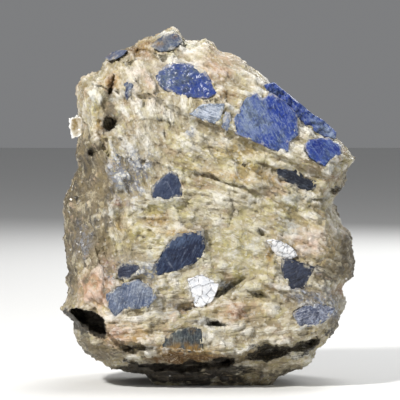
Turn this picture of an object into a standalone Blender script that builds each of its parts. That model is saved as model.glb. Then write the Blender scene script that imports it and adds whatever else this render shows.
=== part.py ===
"""Sapphire in matrix: a broken block of feldspar and mica schist with blue corundum crystals in its face.

The block stands on its own flat broken underside. Its front faces -Y, +X is to the right and +Z is up.
Lengths here are in millimetres, and MM turns them into metres.
"""

import bmesh
import bpy
import numpy as np
from mathutils import Vector, noise

MM = 0.001

# Real sizes of the specimen, in millimetres.
WIDTH = 73.5
FRONT_DEPTH = 21.5
BACK_DEPTH = 26.0
FIT_GAP = 0.3

# The front view is drawn on a square grid, as points (across, down). These lines of it place the specimen.
GRID_LEFT = 61
GRID_RIGHT = 355
GRID_BASE = 381
GRID_MIDDLE = (GRID_LEFT + GRID_RIGHT) / 2
MIDDLE_ROW = 205
STEP = WIDTH / (GRID_RIGHT - GRID_LEFT)

# The block's silhouette, clockwise from the left shoulder. It runs on below the base, where it is cut level.
OUTLINE = [
    (100, 71), (104, 63), (110, 56), (120, 50), (132, 47), (138, 40), (150, 36), (165, 30), (173, 27),
    (179, 31), (185, 41), (200, 41), (205, 38), (213, 42), (220, 50), (235, 55), (250, 65), (265, 78),
    (272, 89), (283, 99), (300, 113), (315, 121), (323, 130), (335, 136), (342, 141), (350, 150),
    (355, 157), (349, 166), (345, 173), (345, 184), (338, 193), (331, 203), (338, 217), (343, 226),
    (351, 233), (352, 245), (355, 264), (351, 276), (341, 286), (345, 301), (340, 312), (338, 320),
    (333, 330), (324, 343), (315, 349), (315, 356), (308, 362), (303, 368), (290, 370), (280, 374),
    (274, 380), (270, 388), (158, 390), (152, 380), (144, 373), (130, 372), (112, 368), (100, 361),
    (85, 352), (78, 341), (74, 332), (74, 320), (64, 312), (61, 308), (66, 300), (69, 288), (68, 278),
    (70, 270), (66, 256), (65, 228), (65, 200), (70, 186), (77, 170), (79, 165), (75, 154), (78, 138),
    (80, 132), (80, 122), (78, 112), (77, 100), (78, 85), (83, 77), (95, 72),
]

# Depth of the rim in front of the middle plane and behind it, going round from the right, anticlockwise.
RIM_ANGLES = [-180, -150, -120, -90, -60, -30, 0, 30, 50, 70, 95, 120, 150, 180]
RIM_FRONT = [6, 8, 9, 14, 11, 8, 10, 13, 15, 13, 9, 9, 8, 6]
RIM_BACK = [9, 8, 11, 14, 13, 10, 8, 7, 6, 6, 5, 6, 8, 9]
RIM_ROUND = 4.5
BACK_ROUND = 15.0

# The rim wanders as it goes round: height, number of waves, and start in degrees of each wave.
RIM_WANDER = [(1.6, 7, 20), (1.2, 13, 75)]
FRONT_RIM_WANDER = 0.6
CREST_WANDER = (3.0, 3, 40)
CREST_BEHIND = 1.0

# How the wall is worn back from its crest: wear for each millimetre behind and before it, the share of its
# patches, how softly it starts, how far it reaches, and how much of it is left at the base.
WEAR_BEHIND = 0.14
WEAR_BEFORE = 0.05
WEAR_PATCHES_BEHIND = 1.6
WEAR_PATCHES_BEFORE = 0.35
WEAR_START = 5.0
WEAR_REACH = 6.0
WEAR_AT_BASE = 0.55
WEAR_HEIGHT = 6.0

# Behind the crest the notches of the silhouette even out: start, reach inwards, and start above the base.
EASE_START = 10.0
EASE_REACH = 14.0
EASE_HEIGHT = 12.0

# Planes that the front and the back break down to: level, slope to the right and where from, slope upwards
# and where from, and how softly the plane meets the others.
FRONT_LEAN = (-0.03, 0, -0.03, 45)
FRONT_PLANES = [
    (FRONT_DEPTH - 2.5, 0, 0, -0.55, 74, 3.0),
    (FRONT_DEPTH - 1.0, -0.9, 30, 0, 0, 2.5),
    (13.5, 0, 0, 1.05, 0, 2.0),
]
FLANK_SLOPE = 1.15
FLANK_LIFT = 1.0
FLANK_BLEND = 2.0
BACK_RIDGE = -4
BACK_SIDE_SLOPE = 0.16
BACK_LEAN = (-0.02, 30)
BACK_PLANES = [
    (BACK_DEPTH + 1.0, 0.14, 0, -0.45, 40, 2.5),
    (BACK_DEPTH, -0.8, 10, -0.1, 40, 2.5),
    (BACK_DEPTH, 0.6, -14, -0.16, 40, 2.5),
    (13.0, 0, 0, 0.75, 0, 2.0),
]

# Broken facets: size, lift, tilt and seed. Swells: height, size and place in the noise.
FACET_EDGE = 0.9
FRONT_FACETS = (9.0, 0.55, 0.10, 4)
BACK_FACETS = (13.0, 1.4, 0.18, 11)
RIM_FACETS = (9.0, 1.0, 0.2, 21)
FRONT_SWELL = (0.8, 11.0, 2.5)
BACK_SWELL = (1.1, 12.0, 7.5)

# Where the front face turns back into the schist flank on the left, as (down, across) from top to bottom.
FLANK_EDGE = [
    (60, 84), (100, 82), (135, 92), (160, 110), (195, 112), (230, 100), (262, 92), (285, 76), (330, 72),
]

# Steps in the front face: the side named stands proud of the other by the height, fading back over the reach.
LEDGE_WIDTH = 1.6
LEDGES = [
    ("above", 2.2, 24, [(120, 88), (150, 95), (190, 116), (235, 131), (290, 158), (345, 177)]),
    ("below", 1.8, 16, [(262, 172), (282, 184), (300, 190), (334, 204)]),
    ("above", 1.3, 10, [(180, 166), (212, 173), (225, 180), (245, 184)]),
    ("above", 2.0, 12, [(240, 276), (225, 284), (211, 294), (190, 304), (165, 306)]),
    ("above", 1.6, 12, [(108, 329), (120, 339), (150, 337), (166, 344)]),
    (
        "above", 3.0, 14,
        [(158, 352), (190, 350), (225, 352), (245, 345), (262, 337), (290, 338), (316, 329)],
    ),
    ("above", 1.2, 9, [(112, 132), (98, 133), (80, 140)]),
    ("above", 1.4, 10, [(130, 47), (150, 50), (165, 52), (185, 42)]),
    ("below", 1.0, 9, [(84, 262), (104, 258), (124, 254), (150, 250)]),
]

# Hollows in the front face: depth, width of the slope at the edge, and the outline of the mouth.
HOLLOW_RIM = 1.5
HOLLOWS = [
    (
        11.0, 2.4,
        [(69, 307), (77, 303), (93, 304), (107, 312), (109, 329), (100, 330), (84, 323), (76, 317)],
    ),
    (
        6.5, 2.2,
        [(238, 353), (262, 338), (290, 339), (314, 331), (322, 335), (312, 346), (292, 347), (266, 357)],
    ),
    (
        7.5, 2.2,
        [(118, 349), (140, 357), (165, 356), (200, 355), (236, 352), (232, 363), (180, 370), (138, 366)],
    ),
    (
        2.2, 1.6,
        [(259, 228), (272, 232), (284, 237), (298, 250), (316, 262), (304, 283), (284, 283), (275, 256)],
    ),
    (2.0, 1.5, [(268, 166), (300, 165), (316, 180), (303, 190), (280, 181)]),
    (2.4, 1.2, [(240, 277), (222, 288), (204, 300), (184, 307), (184, 303), (204, 296), (222, 283)]),
]

# Pits, and lumps where the depth is negative: across, down, half width, half height, turn in degrees, depth.
PIT_FALL = 1.4
PITS = [
    (112, 83, 8, 2.5, 75, 2.2), (111, 121, 7, 9, 10, 3.2), (113, 102, 7, 9, 0, 1.4), (92, 149, 6, 7, 0, 2.8),
    (77, 197, 4, 4, 0, 1.8), (335, 189, 9, 5, -10, 3.5), (219, 353, 11, 3.5, 0, 3.0),
    (215, 316, 9, 3, 10, 1.8), (131, 341, 10, 3, 5, 1.6), (257, 288, 8, 3, -10, 1.4),
    (104, 142, 9, 2.5, 60, 1.4), (318, 197, 9, 2.5, 0, 1.4), (120, 200, 12, 6, 15, -1.4),
    (316, 215, 6, 5, 0, -1.0), (298, 232, 30, 14, 25, -1.2), (160, 318, 22, 9, 5, -1.0),
    (100, 282, 14, 16, -20, -1.4), (205, 60, 20, 10, 10, -1.0), (232, 340, 18, 8, -15, -0.8),
]

# Crystals: outline of the face, how far it stands proud, its slopes to the right and upwards, and the depth
# of its root.
CRYSTALS = {
    "sapphire_crest": (
        [(153, 46), (160, 40), (169, 35), (179, 35), (183, 41), (174, 48), (163, 51)],
        0.6, -0.05, -0.1, 6,
    ),
    "sapphire_shoulder": (
        [(106, 58), (112, 53), (121, 50), (129, 50), (123, 55), (112, 60)],
        0.6, 0.05, -0.05, 4,
    ),
    "sapphire_upper": (
        [(158, 80), (160, 71), (172, 63), (192, 65), (205, 72), (216, 92), (205, 97), (186, 95),
         (166, 88)],
        0.3, 0.12, 0.05, 8,
    ),
    "sapphire_silver": (
        [(191, 112), (203, 104), (223, 103), (219, 116), (214, 121), (203, 117)],
        0.3, 0.05, 0.2, 5,
    ),
    "sapphire_sliver": (
        [(225, 111), (229, 112), (229, 124), (226, 128), (222, 123)],
        0.2, 0.15, 0.0, 4,
    ),
    "sapphire_large": (
        [(247, 95), (256, 93), (262, 99), (270, 92), (283, 101), (293, 110), (295, 132), (286, 139),
         (286, 148), (276, 148), (258, 140), (236, 131), (234, 117), (241, 104)],
        0.6, 0.04, 0.03, 10,
    ),
    "sapphire_right": (
        [(302, 144), (308, 138), (325, 138), (336, 144), (337, 151), (327, 155), (322, 162), (308, 154)],
        0.3, -0.05, 0.05, 7,
    ),
    "sapphire_dark": (
        [(275, 166), (295, 165), (300, 175), (313, 178), (313, 185), (302, 188), (289, 180), (278, 176)],
        0.5, 0.08, 0.15, 6,
    ),
    "sapphire_middle": (
        [(170, 169), (176, 170), (182, 184), (182, 192), (166, 196), (154, 193), (154, 184)],
        0.5, 0.05, -0.1, 7,
    ),
    "sapphire_long": (
        [(177, 230), (203, 227), (204, 251), (184, 262), (160, 269), (153, 264), (166, 244)],
        0.7, 0.06, 0.18, 9,
    ),
    "sapphire_knot": (
        [(119, 263), (125, 258), (139, 260), (141, 264), (131, 272), (122, 272)],
        0.5, 0.0, 0.15, 5,
    ),
    "sapphire_pale": (
        [(110, 287), (122, 280), (139, 274), (153, 283), (157, 291), (148, 300), (128, 301), (118, 309),
         (110, 300)],
        0.5, 0.08, 0.05, 8,
    ),
    "sapphire_rusty": (
        [(166, 329), (180, 323), (193, 319), (201, 322), (201, 342), (186, 342), (165, 340)],
        0.5, 0.05, -0.15, 7,
    ),
    "sapphire_low": (
        [(280, 254), (295, 257), (312, 262), (306, 272), (302, 282), (290, 282), (282, 272)],
        0.9, 0.1, 0.2, 7,
    ),
    "sapphire_corner": (
        [(291, 306), (303, 299), (320, 298), (331, 302), (326, 311), (313, 318), (298, 318)],
        0.5, -0.05, 0.05, 8,
    ),
    "sapphire_bead": (
        [(127, 84), (131, 81), (135, 83), (134, 88), (129, 98), (127, 94)],
        0.4, 0.0, 0.1, 4,
    ),
    "mica_plate_centre": (
        [(189, 274), (202, 270), (217, 279), (211, 293), (203, 298), (196, 298), (191, 284)],
        0.9, 0.05, 0.06, 2,
    ),
    "mica_plate_right": (
        [(266, 236), (277, 235), (290, 244), (294, 250), (284, 254), (273, 246)],
        0.9, 0.1, 0.25, 2,
    ),
}
CHAMFER_INSET = 0.55
CHAMFER_DROP = 0.35
POCKET_REACH = 12.0

# The slab grown together with the large crystal lies along the upper right rim.
SLAB = [
    (266, 81), (273, 82), (290, 96), (311, 113), (321, 119), (334, 131), (334, 136), (322, 130), (300, 116),
    (283, 104), (274, 96),
]
SLAB_FRONT = 18.0
SLAB_BACK = 4.0
SLAB_POCKET_REACH = 9.0

# How the slab's two broken ends slope across its run.
SLAB_FRONT_TILT = 0.18
SLAB_BACK_TILT = -0.32

# The flake stands out of the left rim.
FLAKE = [(70, 117), (79, 112), (86, 116), (86, 132), (79, 138), (73, 139), (69, 128)]
FLAKE_FRONT = 10.5
FLAKE_BACK = 8.3
FLAKE_TILT = 0.2

# The block starts as a slab of this half thickness, meshed at this spacing, and keeps this share of faces.
HALF_SLAB = 14.0
SPACING = 1.1
KEPT_SHARE = 0.2

# Each piece's colour, and how rough it is.
FINISHES = {
    "matrix": ((0.56, 0.50, 0.36), 0.65),
    "sapphire_crest": ((0.050, 0.072, 0.125), 0.40),
    "sapphire_shoulder": ((0.045, 0.068, 0.15), 0.40),
    "sapphire_upper": ((0.040, 0.070, 0.21), 0.42),
    "sapphire_silver": ((0.16, 0.20, 0.27), 0.30),
    "sapphire_sliver": ((0.11, 0.14, 0.22), 0.38),
    "sapphire_large": ((0.075, 0.118, 0.29), 0.40),
    "sapphire_right": ((0.040, 0.076, 0.28), 0.40),
    "sapphire_dark": ((0.016, 0.021, 0.038), 0.42),
    "sapphire_middle": ((0.038, 0.052, 0.092), 0.42),
    "sapphire_long": ((0.016, 0.028, 0.060), 0.40),
    "sapphire_knot": ((0.024, 0.031, 0.060), 0.42),
    "sapphire_pale": ((0.105, 0.135, 0.21), 0.42),
    "sapphire_rusty": ((0.060, 0.074, 0.074), 0.44),
    "sapphire_low": ((0.014, 0.020, 0.042), 0.40),
    "sapphire_corner": ((0.080, 0.093, 0.15), 0.42),
    "sapphire_bead": ((0.045, 0.066, 0.13), 0.34),
    "mica_plate_centre": ((0.82, 0.83, 0.85), 0.20),
    "mica_plate_right": ((0.82, 0.83, 0.85), 0.20),
    "mica_flake": ((0.42, 0.36, 0.25), 0.12),
}


def across(column):
    return (column - GRID_MIDDLE) * STEP


def height(row):
    return (GRID_BASE - row) * STEP


def placed(points):
    """Grid points (across, down) as an array of x and z in millimetres."""
    return np.array([(across(column), height(row)) for column, row in points])


def finish(piece):
    """Gives a piece its own material."""
    colour, roughness = FINISHES[piece.name]
    stone = bpy.data.materials.new(piece.name)
    stone.use_nodes = True
    shader = stone.node_tree.nodes["Principled BSDF"]
    shader.inputs["Base Color"].default_value = (*colour, 1.0)
    shader.inputs["Roughness"].default_value = roughness
    shader.inputs["Metallic"].default_value = 0.0
    piece.data.materials.append(stone)


def nearest_on_line(x, z, line, closed):
    """Distance from each point to a line of segments, and its side: positive to the left of the run."""
    ends = np.roll(line, -1, axis=0) if closed else line[1:]
    starts = line if closed else line[:-1]
    best = np.full(x.shape, np.inf)
    side = np.zeros(x.shape)
    for (x0, z0), (x1, z1) in zip(starts, ends):
        run_x, run_z = x1 - x0, z1 - z0
        share = np.clip(((x - x0) * run_x + (z - z0) * run_z) / (run_x**2 + run_z**2), 0, 1)
        gap = np.hypot(x - x0 - share * run_x, z - z0 - share * run_z)
        turn = np.sign(run_x * (z - z0) - run_z * (x - x0))
        nearer = gap < best
        side = np.where(nearer, turn, side)
        best = np.where(nearer, gap, best)
    return best, side


def inside(x, z, line):
    """True where a point is inside a closed line."""
    found = np.zeros(x.shape, bool)
    for (x0, z0), (x1, z1) in zip(line, np.roll(line, -1, axis=0)):
        crosses = (z0 > z) != (z1 > z)
        reach = x0 + (z - z0) / (z1 - z0 if z1 != z0 else 1e-9) * (x1 - x0)
        found ^= crosses & (x < reach)
    return found


def smooth_step(value):
    value = np.clip(value, 0, 1)
    return value * value * (3 - 2 * value)


def smooth_least(first, second, blend):
    """The smaller of two surfaces, with the edge between them rounded."""
    mix = np.clip(0.5 + 0.5 * (second - first) / blend, 0, 1)
    return second * (1 - mix) + first * mix - blend * mix * (1 - mix)


def broken_facets(u, v, size, lift, tilt, seed):
    """A broken surface: flat patches of about this size, each lifted and tilted a little in its own way."""
    draws = np.random.default_rng(seed).uniform(-1, 1, (5, 64, 64))
    column = np.floor(u / size).astype(int)
    row = np.floor(v / size).astype(int)
    surface = np.zeros(u.shape)
    total = np.full(u.shape, 1e-12)
    for i in (-1, 0, 1):
        for j in (-1, 0, 1):
            c, r = (column + i) % 64, (row + j) % 64
            du = u - (column + i + 0.5 + 0.42 * draws[0, c, r]) * size
            dv = v - (row + j + 0.5 + 0.42 * draws[1, c, r]) * size
            weight = np.exp(-(du * du + dv * dv) / (size * FACET_EDGE))
            surface += weight * (lift * draws[2, c, r] + tilt * (du * draws[3, c, r] + dv * draws[4, c, r]))
            total += weight
    return surface / total


def grain(x, y, z, size, octaves, seed):
    """Smooth noise between about -1 and 1, with features of about this size."""
    points = np.stack([x, y, z], axis=-1) / size + seed
    return np.array([noise.fractal(Vector(point), 1.0, 2.0, octaves) for point in points])


def ledges(x, z):
    relief = np.zeros(x.shape)
    for proud, lift, reach, line in LEDGES:
        gap, side = nearest_on_line(x, z, placed(line), closed=False)
        side = side if proud == "above" else -side
        relief += lift * smooth_step(0.5 + side * gap / LEDGE_WIDTH) * np.exp(-gap / reach)
    return relief


def hollows(x, z):
    sunk = np.zeros(x.shape)
    for depth, slope, mouth in HOLLOWS:
        line = placed(mouth)
        gap, _ = nearest_on_line(x, z, line, closed=True)
        sunk = np.maximum(sunk, depth * smooth_step(np.where(inside(x, z, line), gap, 0) / slope))
    return sunk


def pits(x, z):
    sunk = np.zeros(x.shape)
    for column, row, half_width, half_height, turn, depth in PITS:
        angle = np.radians(turn)
        dx, dz = x - across(column), z - height(row)
        along = (dx * np.cos(angle) + dz * np.sin(angle)) / (half_width * STEP)
        aside = (dz * np.cos(angle) - dx * np.sin(angle)) / (half_height * STEP)
        sunk += depth * np.exp(-PIT_FALL * (along**2 + aside**2))
    return sunk


def least_of(surface, planes, x, z):
    """A surface broken down to each plane where that plane lies lower."""
    for level, slope_x, from_x, slope_z, from_z, blend in planes:
        plane = level + slope_x * (x - from_x) + slope_z * (z - from_z)
        surface = smooth_least(surface, plane, blend)
    return surface


def swell(x, z, settings, aside):
    lift, size, seed = settings
    return lift * grain(x, 0 * x + aside, z, size, 3, seed)


def front_surface(x, z):
    """How far the front stands before the middle plane, away from the rim."""
    lean_x, from_x, lean_z, from_z = FRONT_LEAN
    main = FRONT_DEPTH + lean_x * (x - from_x) + lean_z * (z - from_z)
    downwards = [-height(row) for row, _ in FLANK_EDGE]
    edge = np.interp(-z, downwards, [across(column) for _, column in FLANK_EDGE])
    main = smooth_least(main, FRONT_DEPTH + FLANK_LIFT + FLANK_SLOPE * (x - edge), FLANK_BLEND)
    main = least_of(main, FRONT_PLANES, x, z)
    main += broken_facets(x + 0.35 * z, z - 0.2 * x, *FRONT_FACETS)
    return main + swell(x, z, FRONT_SWELL, 0) + ledges(x, z) - pits(x, z)


def back_surface(x, z):
    """How far the back stands behind the middle plane, away from the rim."""
    lean, from_z = BACK_LEAN
    main = BACK_DEPTH - BACK_SIDE_SLOPE * np.abs(x - BACK_RIDGE) + lean * (z - from_z)
    main = least_of(main, BACK_PLANES, x, z)
    main += broken_facets(x - 0.4 * z, z + 0.3 * x, *BACK_FACETS)
    return main + swell(x, z, BACK_SWELL, 40)


def rim_gap(x, z):
    """Distance from each point inside the silhouette to it, and 0 outside."""
    outline = placed(OUTLINE)
    gap, _ = nearest_on_line(x, z, outline, closed=True)
    return np.where(inside(x, z, outline), gap, 0)


def bearing(x, z):
    """Direction of each point from the middle of the front view, in degrees."""
    return np.degrees(np.arctan2(z - height(MIDDLE_ROW), x))


def rounded(gap, radius):
    """Rise of a round edge from 0 at the rim to 1 at this distance from it."""
    return np.sqrt(np.clip(1 - (1 - np.clip(gap / radius, 0, 1)) ** 2, 0, 1))


def block_depths(x, z, gap):
    """How far the block reaches before and behind its middle plane."""
    angle = bearing(x, z)
    wander = sum(lift * np.sin(np.radians(waves * angle + start)) for lift, waves, start in RIM_WANDER)
    front_rim = np.interp(angle, RIM_ANGLES, RIM_FRONT) + FRONT_RIM_WANDER * wander
    back_rim = np.interp(angle, RIM_ANGLES, RIM_BACK) - wander
    front = front_rim + (front_surface(x, z) - front_rim) * rounded(gap, RIM_ROUND)
    front -= hollows(x, z) * smooth_step(gap / HOLLOW_RIM)
    back = back_rim + (back_surface(x, z) - back_rim) * rounded(gap, BACK_ROUND)
    return front, back


def eased_share(angle):
    """Radius of the silhouette with its notches and corners evened out, over its true radius there."""
    outline = placed(OUTLINE)
    around = bearing(outline[:, 0], outline[:, 1])
    radius = np.hypot(outline[:, 0], outline[:, 1] - height(MIDDLE_ROW))
    order = np.argsort(around)
    even = np.arange(-180, 180, 3.0)
    drawn = np.interp(even, around[order], radius[order], period=360)
    window = np.hanning(21) / np.hanning(21).sum()
    eased = np.convolve(np.tile(drawn, 3), window, "same")[len(even) : 2 * len(even)]
    return np.interp(angle, even, eased / drawn, period=360)


def shaped(points):
    """The slab's points moved onto the broken surfaces of the block."""
    x, y, z = points.T
    gap = rim_gap(x, z)
    front, back = block_depths(x, z, gap)
    share = y / HALF_SLAB
    depth = np.where(share < 0, share * front, share * back)
    # The silhouette lies on a crest that wanders round the block. Behind it the wall is worn back.
    angle = bearing(x, z)
    lift, waves, start = CREST_WANDER
    behind = depth + CREST_BEHIND - lift * np.sin(np.radians(waves * angle + start))
    patches = np.abs(broken_facets(angle * 0.6, depth + 0.1 * angle, *RIM_FACETS))
    worn_behind = WEAR_BEHIND * behind + WEAR_PATCHES_BEHIND * patches
    worn = np.where(behind > 0, worn_behind, WEAR_PATCHES_BEFORE * patches - WEAR_BEFORE * behind)
    worn *= smooth_step(np.abs(behind) / WEAR_START) * np.exp(-gap / WEAR_REACH)
    worn *= WEAR_AT_BASE + (1 - WEAR_AT_BASE) * smooth_step(z / WEAR_HEIGHT)
    eased = smooth_step(behind / EASE_START) * np.exp(-gap / EASE_REACH) * smooth_step(z / EASE_HEIGHT)
    ease = 1 + (eased_share(angle) - 1) * eased
    inward = np.stack([-x, height(MIDDLE_ROW) - z], axis=-1)
    radius = np.linalg.norm(inward, axis=1) + 1e-6
    shift = (worn / radius + 1 - ease)[:, None] * inward
    return np.stack([x + shift[:, 0], depth, z + shift[:, 1]], axis=-1)


def slab_from(name, line, low, high):
    """A flat outline in the front view, filled and given a thickness from low to high along Y."""
    curve = bpy.data.curves.new(name, "CURVE")
    curve.dimensions = "2D"
    curve.fill_mode = "BOTH"
    curve.extrude = (high - low) / 2 * MM
    spline = curve.splines.new("POLY")
    spline.points.add(len(line) - 1)
    for point, (x, z) in zip(spline.points, line):
        point.co = (x * MM, z * MM, 0, 1)
    spline.use_cyclic_u = True
    drawn = bpy.data.objects.new(name, curve)
    bpy.context.scene.collection.objects.link(drawn)
    mesh = bpy.data.meshes.new_from_object(drawn.evaluated_get(bpy.context.evaluated_depsgraph_get()))
    bpy.data.objects.remove(drawn)
    made = bmesh.new()
    made.from_mesh(mesh)
    bmesh.ops.remove_doubles(made, verts=made.verts, dist=1e-6)
    middle = (low + high) / 2 * MM
    for vert in made.verts:
        vert.co = (vert.co.x, middle - vert.co.z, vert.co.y)
    bmesh.ops.recalc_face_normals(made, faces=made.faces)
    made.to_mesh(mesh)
    made.free()
    return bpy.data.objects.new(name, mesh)


def applied(piece, modifier):
    """The piece with its modifier worked into the mesh."""
    bpy.context.view_layer.update()
    mesh = bpy.data.meshes.new_from_object(piece.evaluated_get(bpy.context.evaluated_depsgraph_get()))
    piece.modifiers.remove(modifier)
    piece.data = mesh


def clear_scene():
    for piece in list(bpy.data.objects):
        bpy.data.objects.remove(piece)


def collection(name):
    made = bpy.data.collections.new(name)
    bpy.context.scene.collection.children.link(made)
    return made


def matrix_block(parts):
    block = slab_from("matrix", placed(OUTLINE), -HALF_SLAB, HALF_SLAB)
    parts.objects.link(block)
    remesh = block.modifiers.new("even points", "REMESH")
    remesh.mode = "VOXEL"
    remesh.voxel_size = SPACING * MM
    applied(block, remesh)
    points = np.empty(len(block.data.vertices) * 3)
    block.data.vertices.foreach_get("co", points)
    points = shaped(points.reshape(-1, 3) / MM)
    block.data.vertices.foreach_set("co", (points * MM).ravel())
    thin = block.modifiers.new("thinned", "DECIMATE")
    thin.ratio = KEPT_SHARE
    applied(block, thin)
    cut = bmesh.new()
    cut.from_mesh(block.data)
    everything = cut.verts[:] + cut.edges[:] + cut.faces[:]
    level = bmesh.ops.bisect_plane(
        cut, geom=everything, plane_co=(0, 0, 0), plane_no=(0, 0, 1), clear_inner=True
    )
    rim = [edge for edge in level["geom_cut"] if isinstance(edge, bmesh.types.BMEdge)]
    bmesh.ops.contextual_create(cut, geom=rim)
    bmesh.ops.triangulate(cut, faces=[face for face in cut.faces if len(face.verts) > 4])
    bmesh.ops.recalc_face_normals(cut, faces=cut.faces)
    cut.to_mesh(block.data)
    cut.free()
    finish(block)
    return block


def face_plane(name):
    """Middle of a crystal's face, how far it stands before the middle plane there, and its two slopes."""
    points, proud, slope_x, slope_z, _ = CRYSTALS[name]
    line = placed(points)
    middle = line.mean(axis=0)
    around = np.vstack([line, (line + middle) / 2, middle])
    stand, _ = block_depths(around[:, 0], around[:, 1], rim_gap(around[:, 0], around[:, 1]))
    away = np.column_stack([np.ones(len(around)), around - middle])
    level, lean_x, lean_z = np.linalg.lstsq(away, stand, rcond=None)[0]
    return middle, level + proud, lean_x + slope_x, lean_z + slope_z


def grown_line(line, by):
    """A closed line moved outwards by a distance, corner by corner."""
    ahead = np.roll(line, -1, axis=0) - line
    ahead /= np.linalg.norm(ahead, axis=1, keepdims=True)
    behind = np.roll(ahead, 1, axis=0)
    turn = np.sign(np.sum(line[:, 0] * np.roll(line[:, 1], -1) - np.roll(line[:, 0], -1) * line[:, 1]))
    normals = np.stack([ahead[:, 1] + behind[:, 1], -ahead[:, 0] - behind[:, 0]], axis=-1) * turn
    lengths = np.linalg.norm(normals, axis=1, keepdims=True)
    normals /= lengths
    return line + normals * by / np.clip(lengths / 2, 0.5, 1)


def tilted_prism(name, gap, chamfered):
    """A crystal as a prism along Y with a tilted face. A gap above zero gives the pocket it sits in."""
    points, _, _, _, root = CRYSTALS[name]
    middle, stand, slope_x, slope_z = face_plane(name)
    reach = POCKET_REACH if gap else 0.0
    prism = slab_from(name, grown_line(placed(points), gap), -stand - reach, root - stand + gap)
    made = bmesh.new()
    made.from_mesh(prism.data)
    face_level = (-stand - reach + 0.01) * MM
    faces = [face for face in made.faces if all(vert.co.y < face_level for vert in face.verts)]
    if chamfered:
        bmesh.ops.dissolve_faces(made, faces=faces)
        faces = [face for face in made.faces if all(vert.co.y < face_level for vert in face.verts)]
        bmesh.ops.inset_region(
            made, faces=faces, thickness=CHAMFER_INSET * MM, depth=CHAMFER_DROP * MM, use_even_offset=True
        )
    for vert in made.verts:
        if vert.co.y < face_level:
            vert.co.y -= slope_x * (vert.co.x - middle[0] * MM) + slope_z * (vert.co.z - middle[1] * MM)
    bmesh.ops.triangulate(made, faces=made.faces)
    made.to_mesh(prism.data)
    made.free()
    return prism


def plate_from(name, line, front, back, front_tilt, back_tilt, gap):
    """A plate along Y with sloping ends. A gap above zero gives the pocket it sits in."""
    plate = slab_from(name, grown_line(line, gap), -front, gap - back)
    middle = -(front + back) / 2 * MM
    centre = line[:, 0].mean() * MM
    made = bmesh.new()
    made.from_mesh(plate.data)
    for vert in made.verts:
        tilt = front_tilt if vert.co.y < middle else back_tilt
        vert.co.y += tilt * (vert.co.x - centre)
    bmesh.ops.triangulate(made, faces=made.faces)
    made.to_mesh(plate.data)
    made.free()
    return plate


def boolean(piece, other, operation):
    step = piece.modifiers.new(other.name, "BOOLEAN")
    step.operation = operation
    step.object = other
    step.solver = "EXACT"


def as_cutter(piece, name, cutters):
    piece.name = name
    piece.hide_render = True
    piece.display_type = "WIRE"
    cutters.objects.link(piece)
    return piece


def main():
    clear_scene()
    parts = collection("sapphire_in_matrix")
    cutters = collection("pockets")
    block = matrix_block(parts)
    for name in CRYSTALS:
        crystal = tilted_prism(name, 0.0, chamfered=True)
        parts.objects.link(crystal)
        finish(crystal)
        pocket = as_cutter(tilted_prism(name, FIT_GAP, chamfered=False), name + "_pocket", cutters)
        boolean(block, pocket, "DIFFERENCE")
    slab_sizes = (SLAB_BACK, SLAB_FRONT_TILT, SLAB_BACK_TILT)
    rim_slab = plate_from("slab", placed(SLAB), SLAB_FRONT, *slab_sizes, 0.0)
    boolean(bpy.data.objects["sapphire_large"], as_cutter(rim_slab, "slab", cutters), "UNION")
    pocket_front = SLAB_FRONT + SLAB_POCKET_REACH
    slab_pocket = plate_from("slab_pocket", placed(SLAB), pocket_front, *slab_sizes, FIT_GAP)
    boolean(block, as_cutter(slab_pocket, "slab_pocket", cutters), "DIFFERENCE")
    flake_sizes = (FLAKE_BACK, -FLAKE_TILT, FLAKE_TILT)
    flake = plate_from("mica_flake", placed(FLAKE), FLAKE_FRONT, *flake_sizes, 0.0)
    parts.objects.link(flake)
    finish(flake)
    flake_pocket = plate_from("flake_pocket", placed(FLAKE), FLAKE_FRONT + FIT_GAP, *flake_sizes, FIT_GAP)
    boolean(block, as_cutter(flake_pocket, "flake_pocket", cutters), "DIFFERENCE")


main()
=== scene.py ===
"""Looks of the sapphire in matrix: broken feldspar and mica schist, blue crystals with glassy faces, bright mica."""

import itertools

import bmesh
import bpy
import numpy as np
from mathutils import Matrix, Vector, noise


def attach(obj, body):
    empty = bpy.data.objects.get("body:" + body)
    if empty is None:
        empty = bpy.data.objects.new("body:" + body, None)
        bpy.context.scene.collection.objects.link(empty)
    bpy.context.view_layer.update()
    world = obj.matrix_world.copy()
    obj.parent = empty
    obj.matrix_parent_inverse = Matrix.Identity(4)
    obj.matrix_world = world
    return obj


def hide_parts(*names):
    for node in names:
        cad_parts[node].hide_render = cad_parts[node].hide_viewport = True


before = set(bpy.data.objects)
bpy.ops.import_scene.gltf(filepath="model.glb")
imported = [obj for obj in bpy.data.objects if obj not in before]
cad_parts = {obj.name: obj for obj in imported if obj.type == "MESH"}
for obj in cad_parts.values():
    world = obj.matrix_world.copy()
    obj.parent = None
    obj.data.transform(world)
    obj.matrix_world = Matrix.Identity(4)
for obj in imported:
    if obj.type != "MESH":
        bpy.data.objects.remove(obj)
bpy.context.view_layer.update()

MM = 0.001

# The block's real sizes in millimetres, and the square grid on which its front view is drawn, as (across, down).
WIDTH = 73.5
FRONT_DEPTH = 21.5
BACK_DEPTH = 26.0
GRID_LEFT = 61
GRID_RIGHT = 355
GRID_BASE = 381
GRID_MIDDLE = (GRID_LEFT + GRID_RIGHT) / 2
MIDDLE_ROW = 205
STEP = WIDTH / (GRID_RIGHT - GRID_LEFT)
RIM_ROUND = 4.5
FACET_EDGE = 0.9
BACK_ROUND = 15.0

# Patches of a broken surface: cells of its repeating pattern, and how far a patch's middle strays in its cell.
CELLS = 64
CELL_SCATTER = 0.42
RIPPLE_REACH = 1.6

# Treads and risers of a stepped field, as shares of a step.
TREAD = 0.62
RISER = 0.38
STEP_RISER = 0.16

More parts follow.
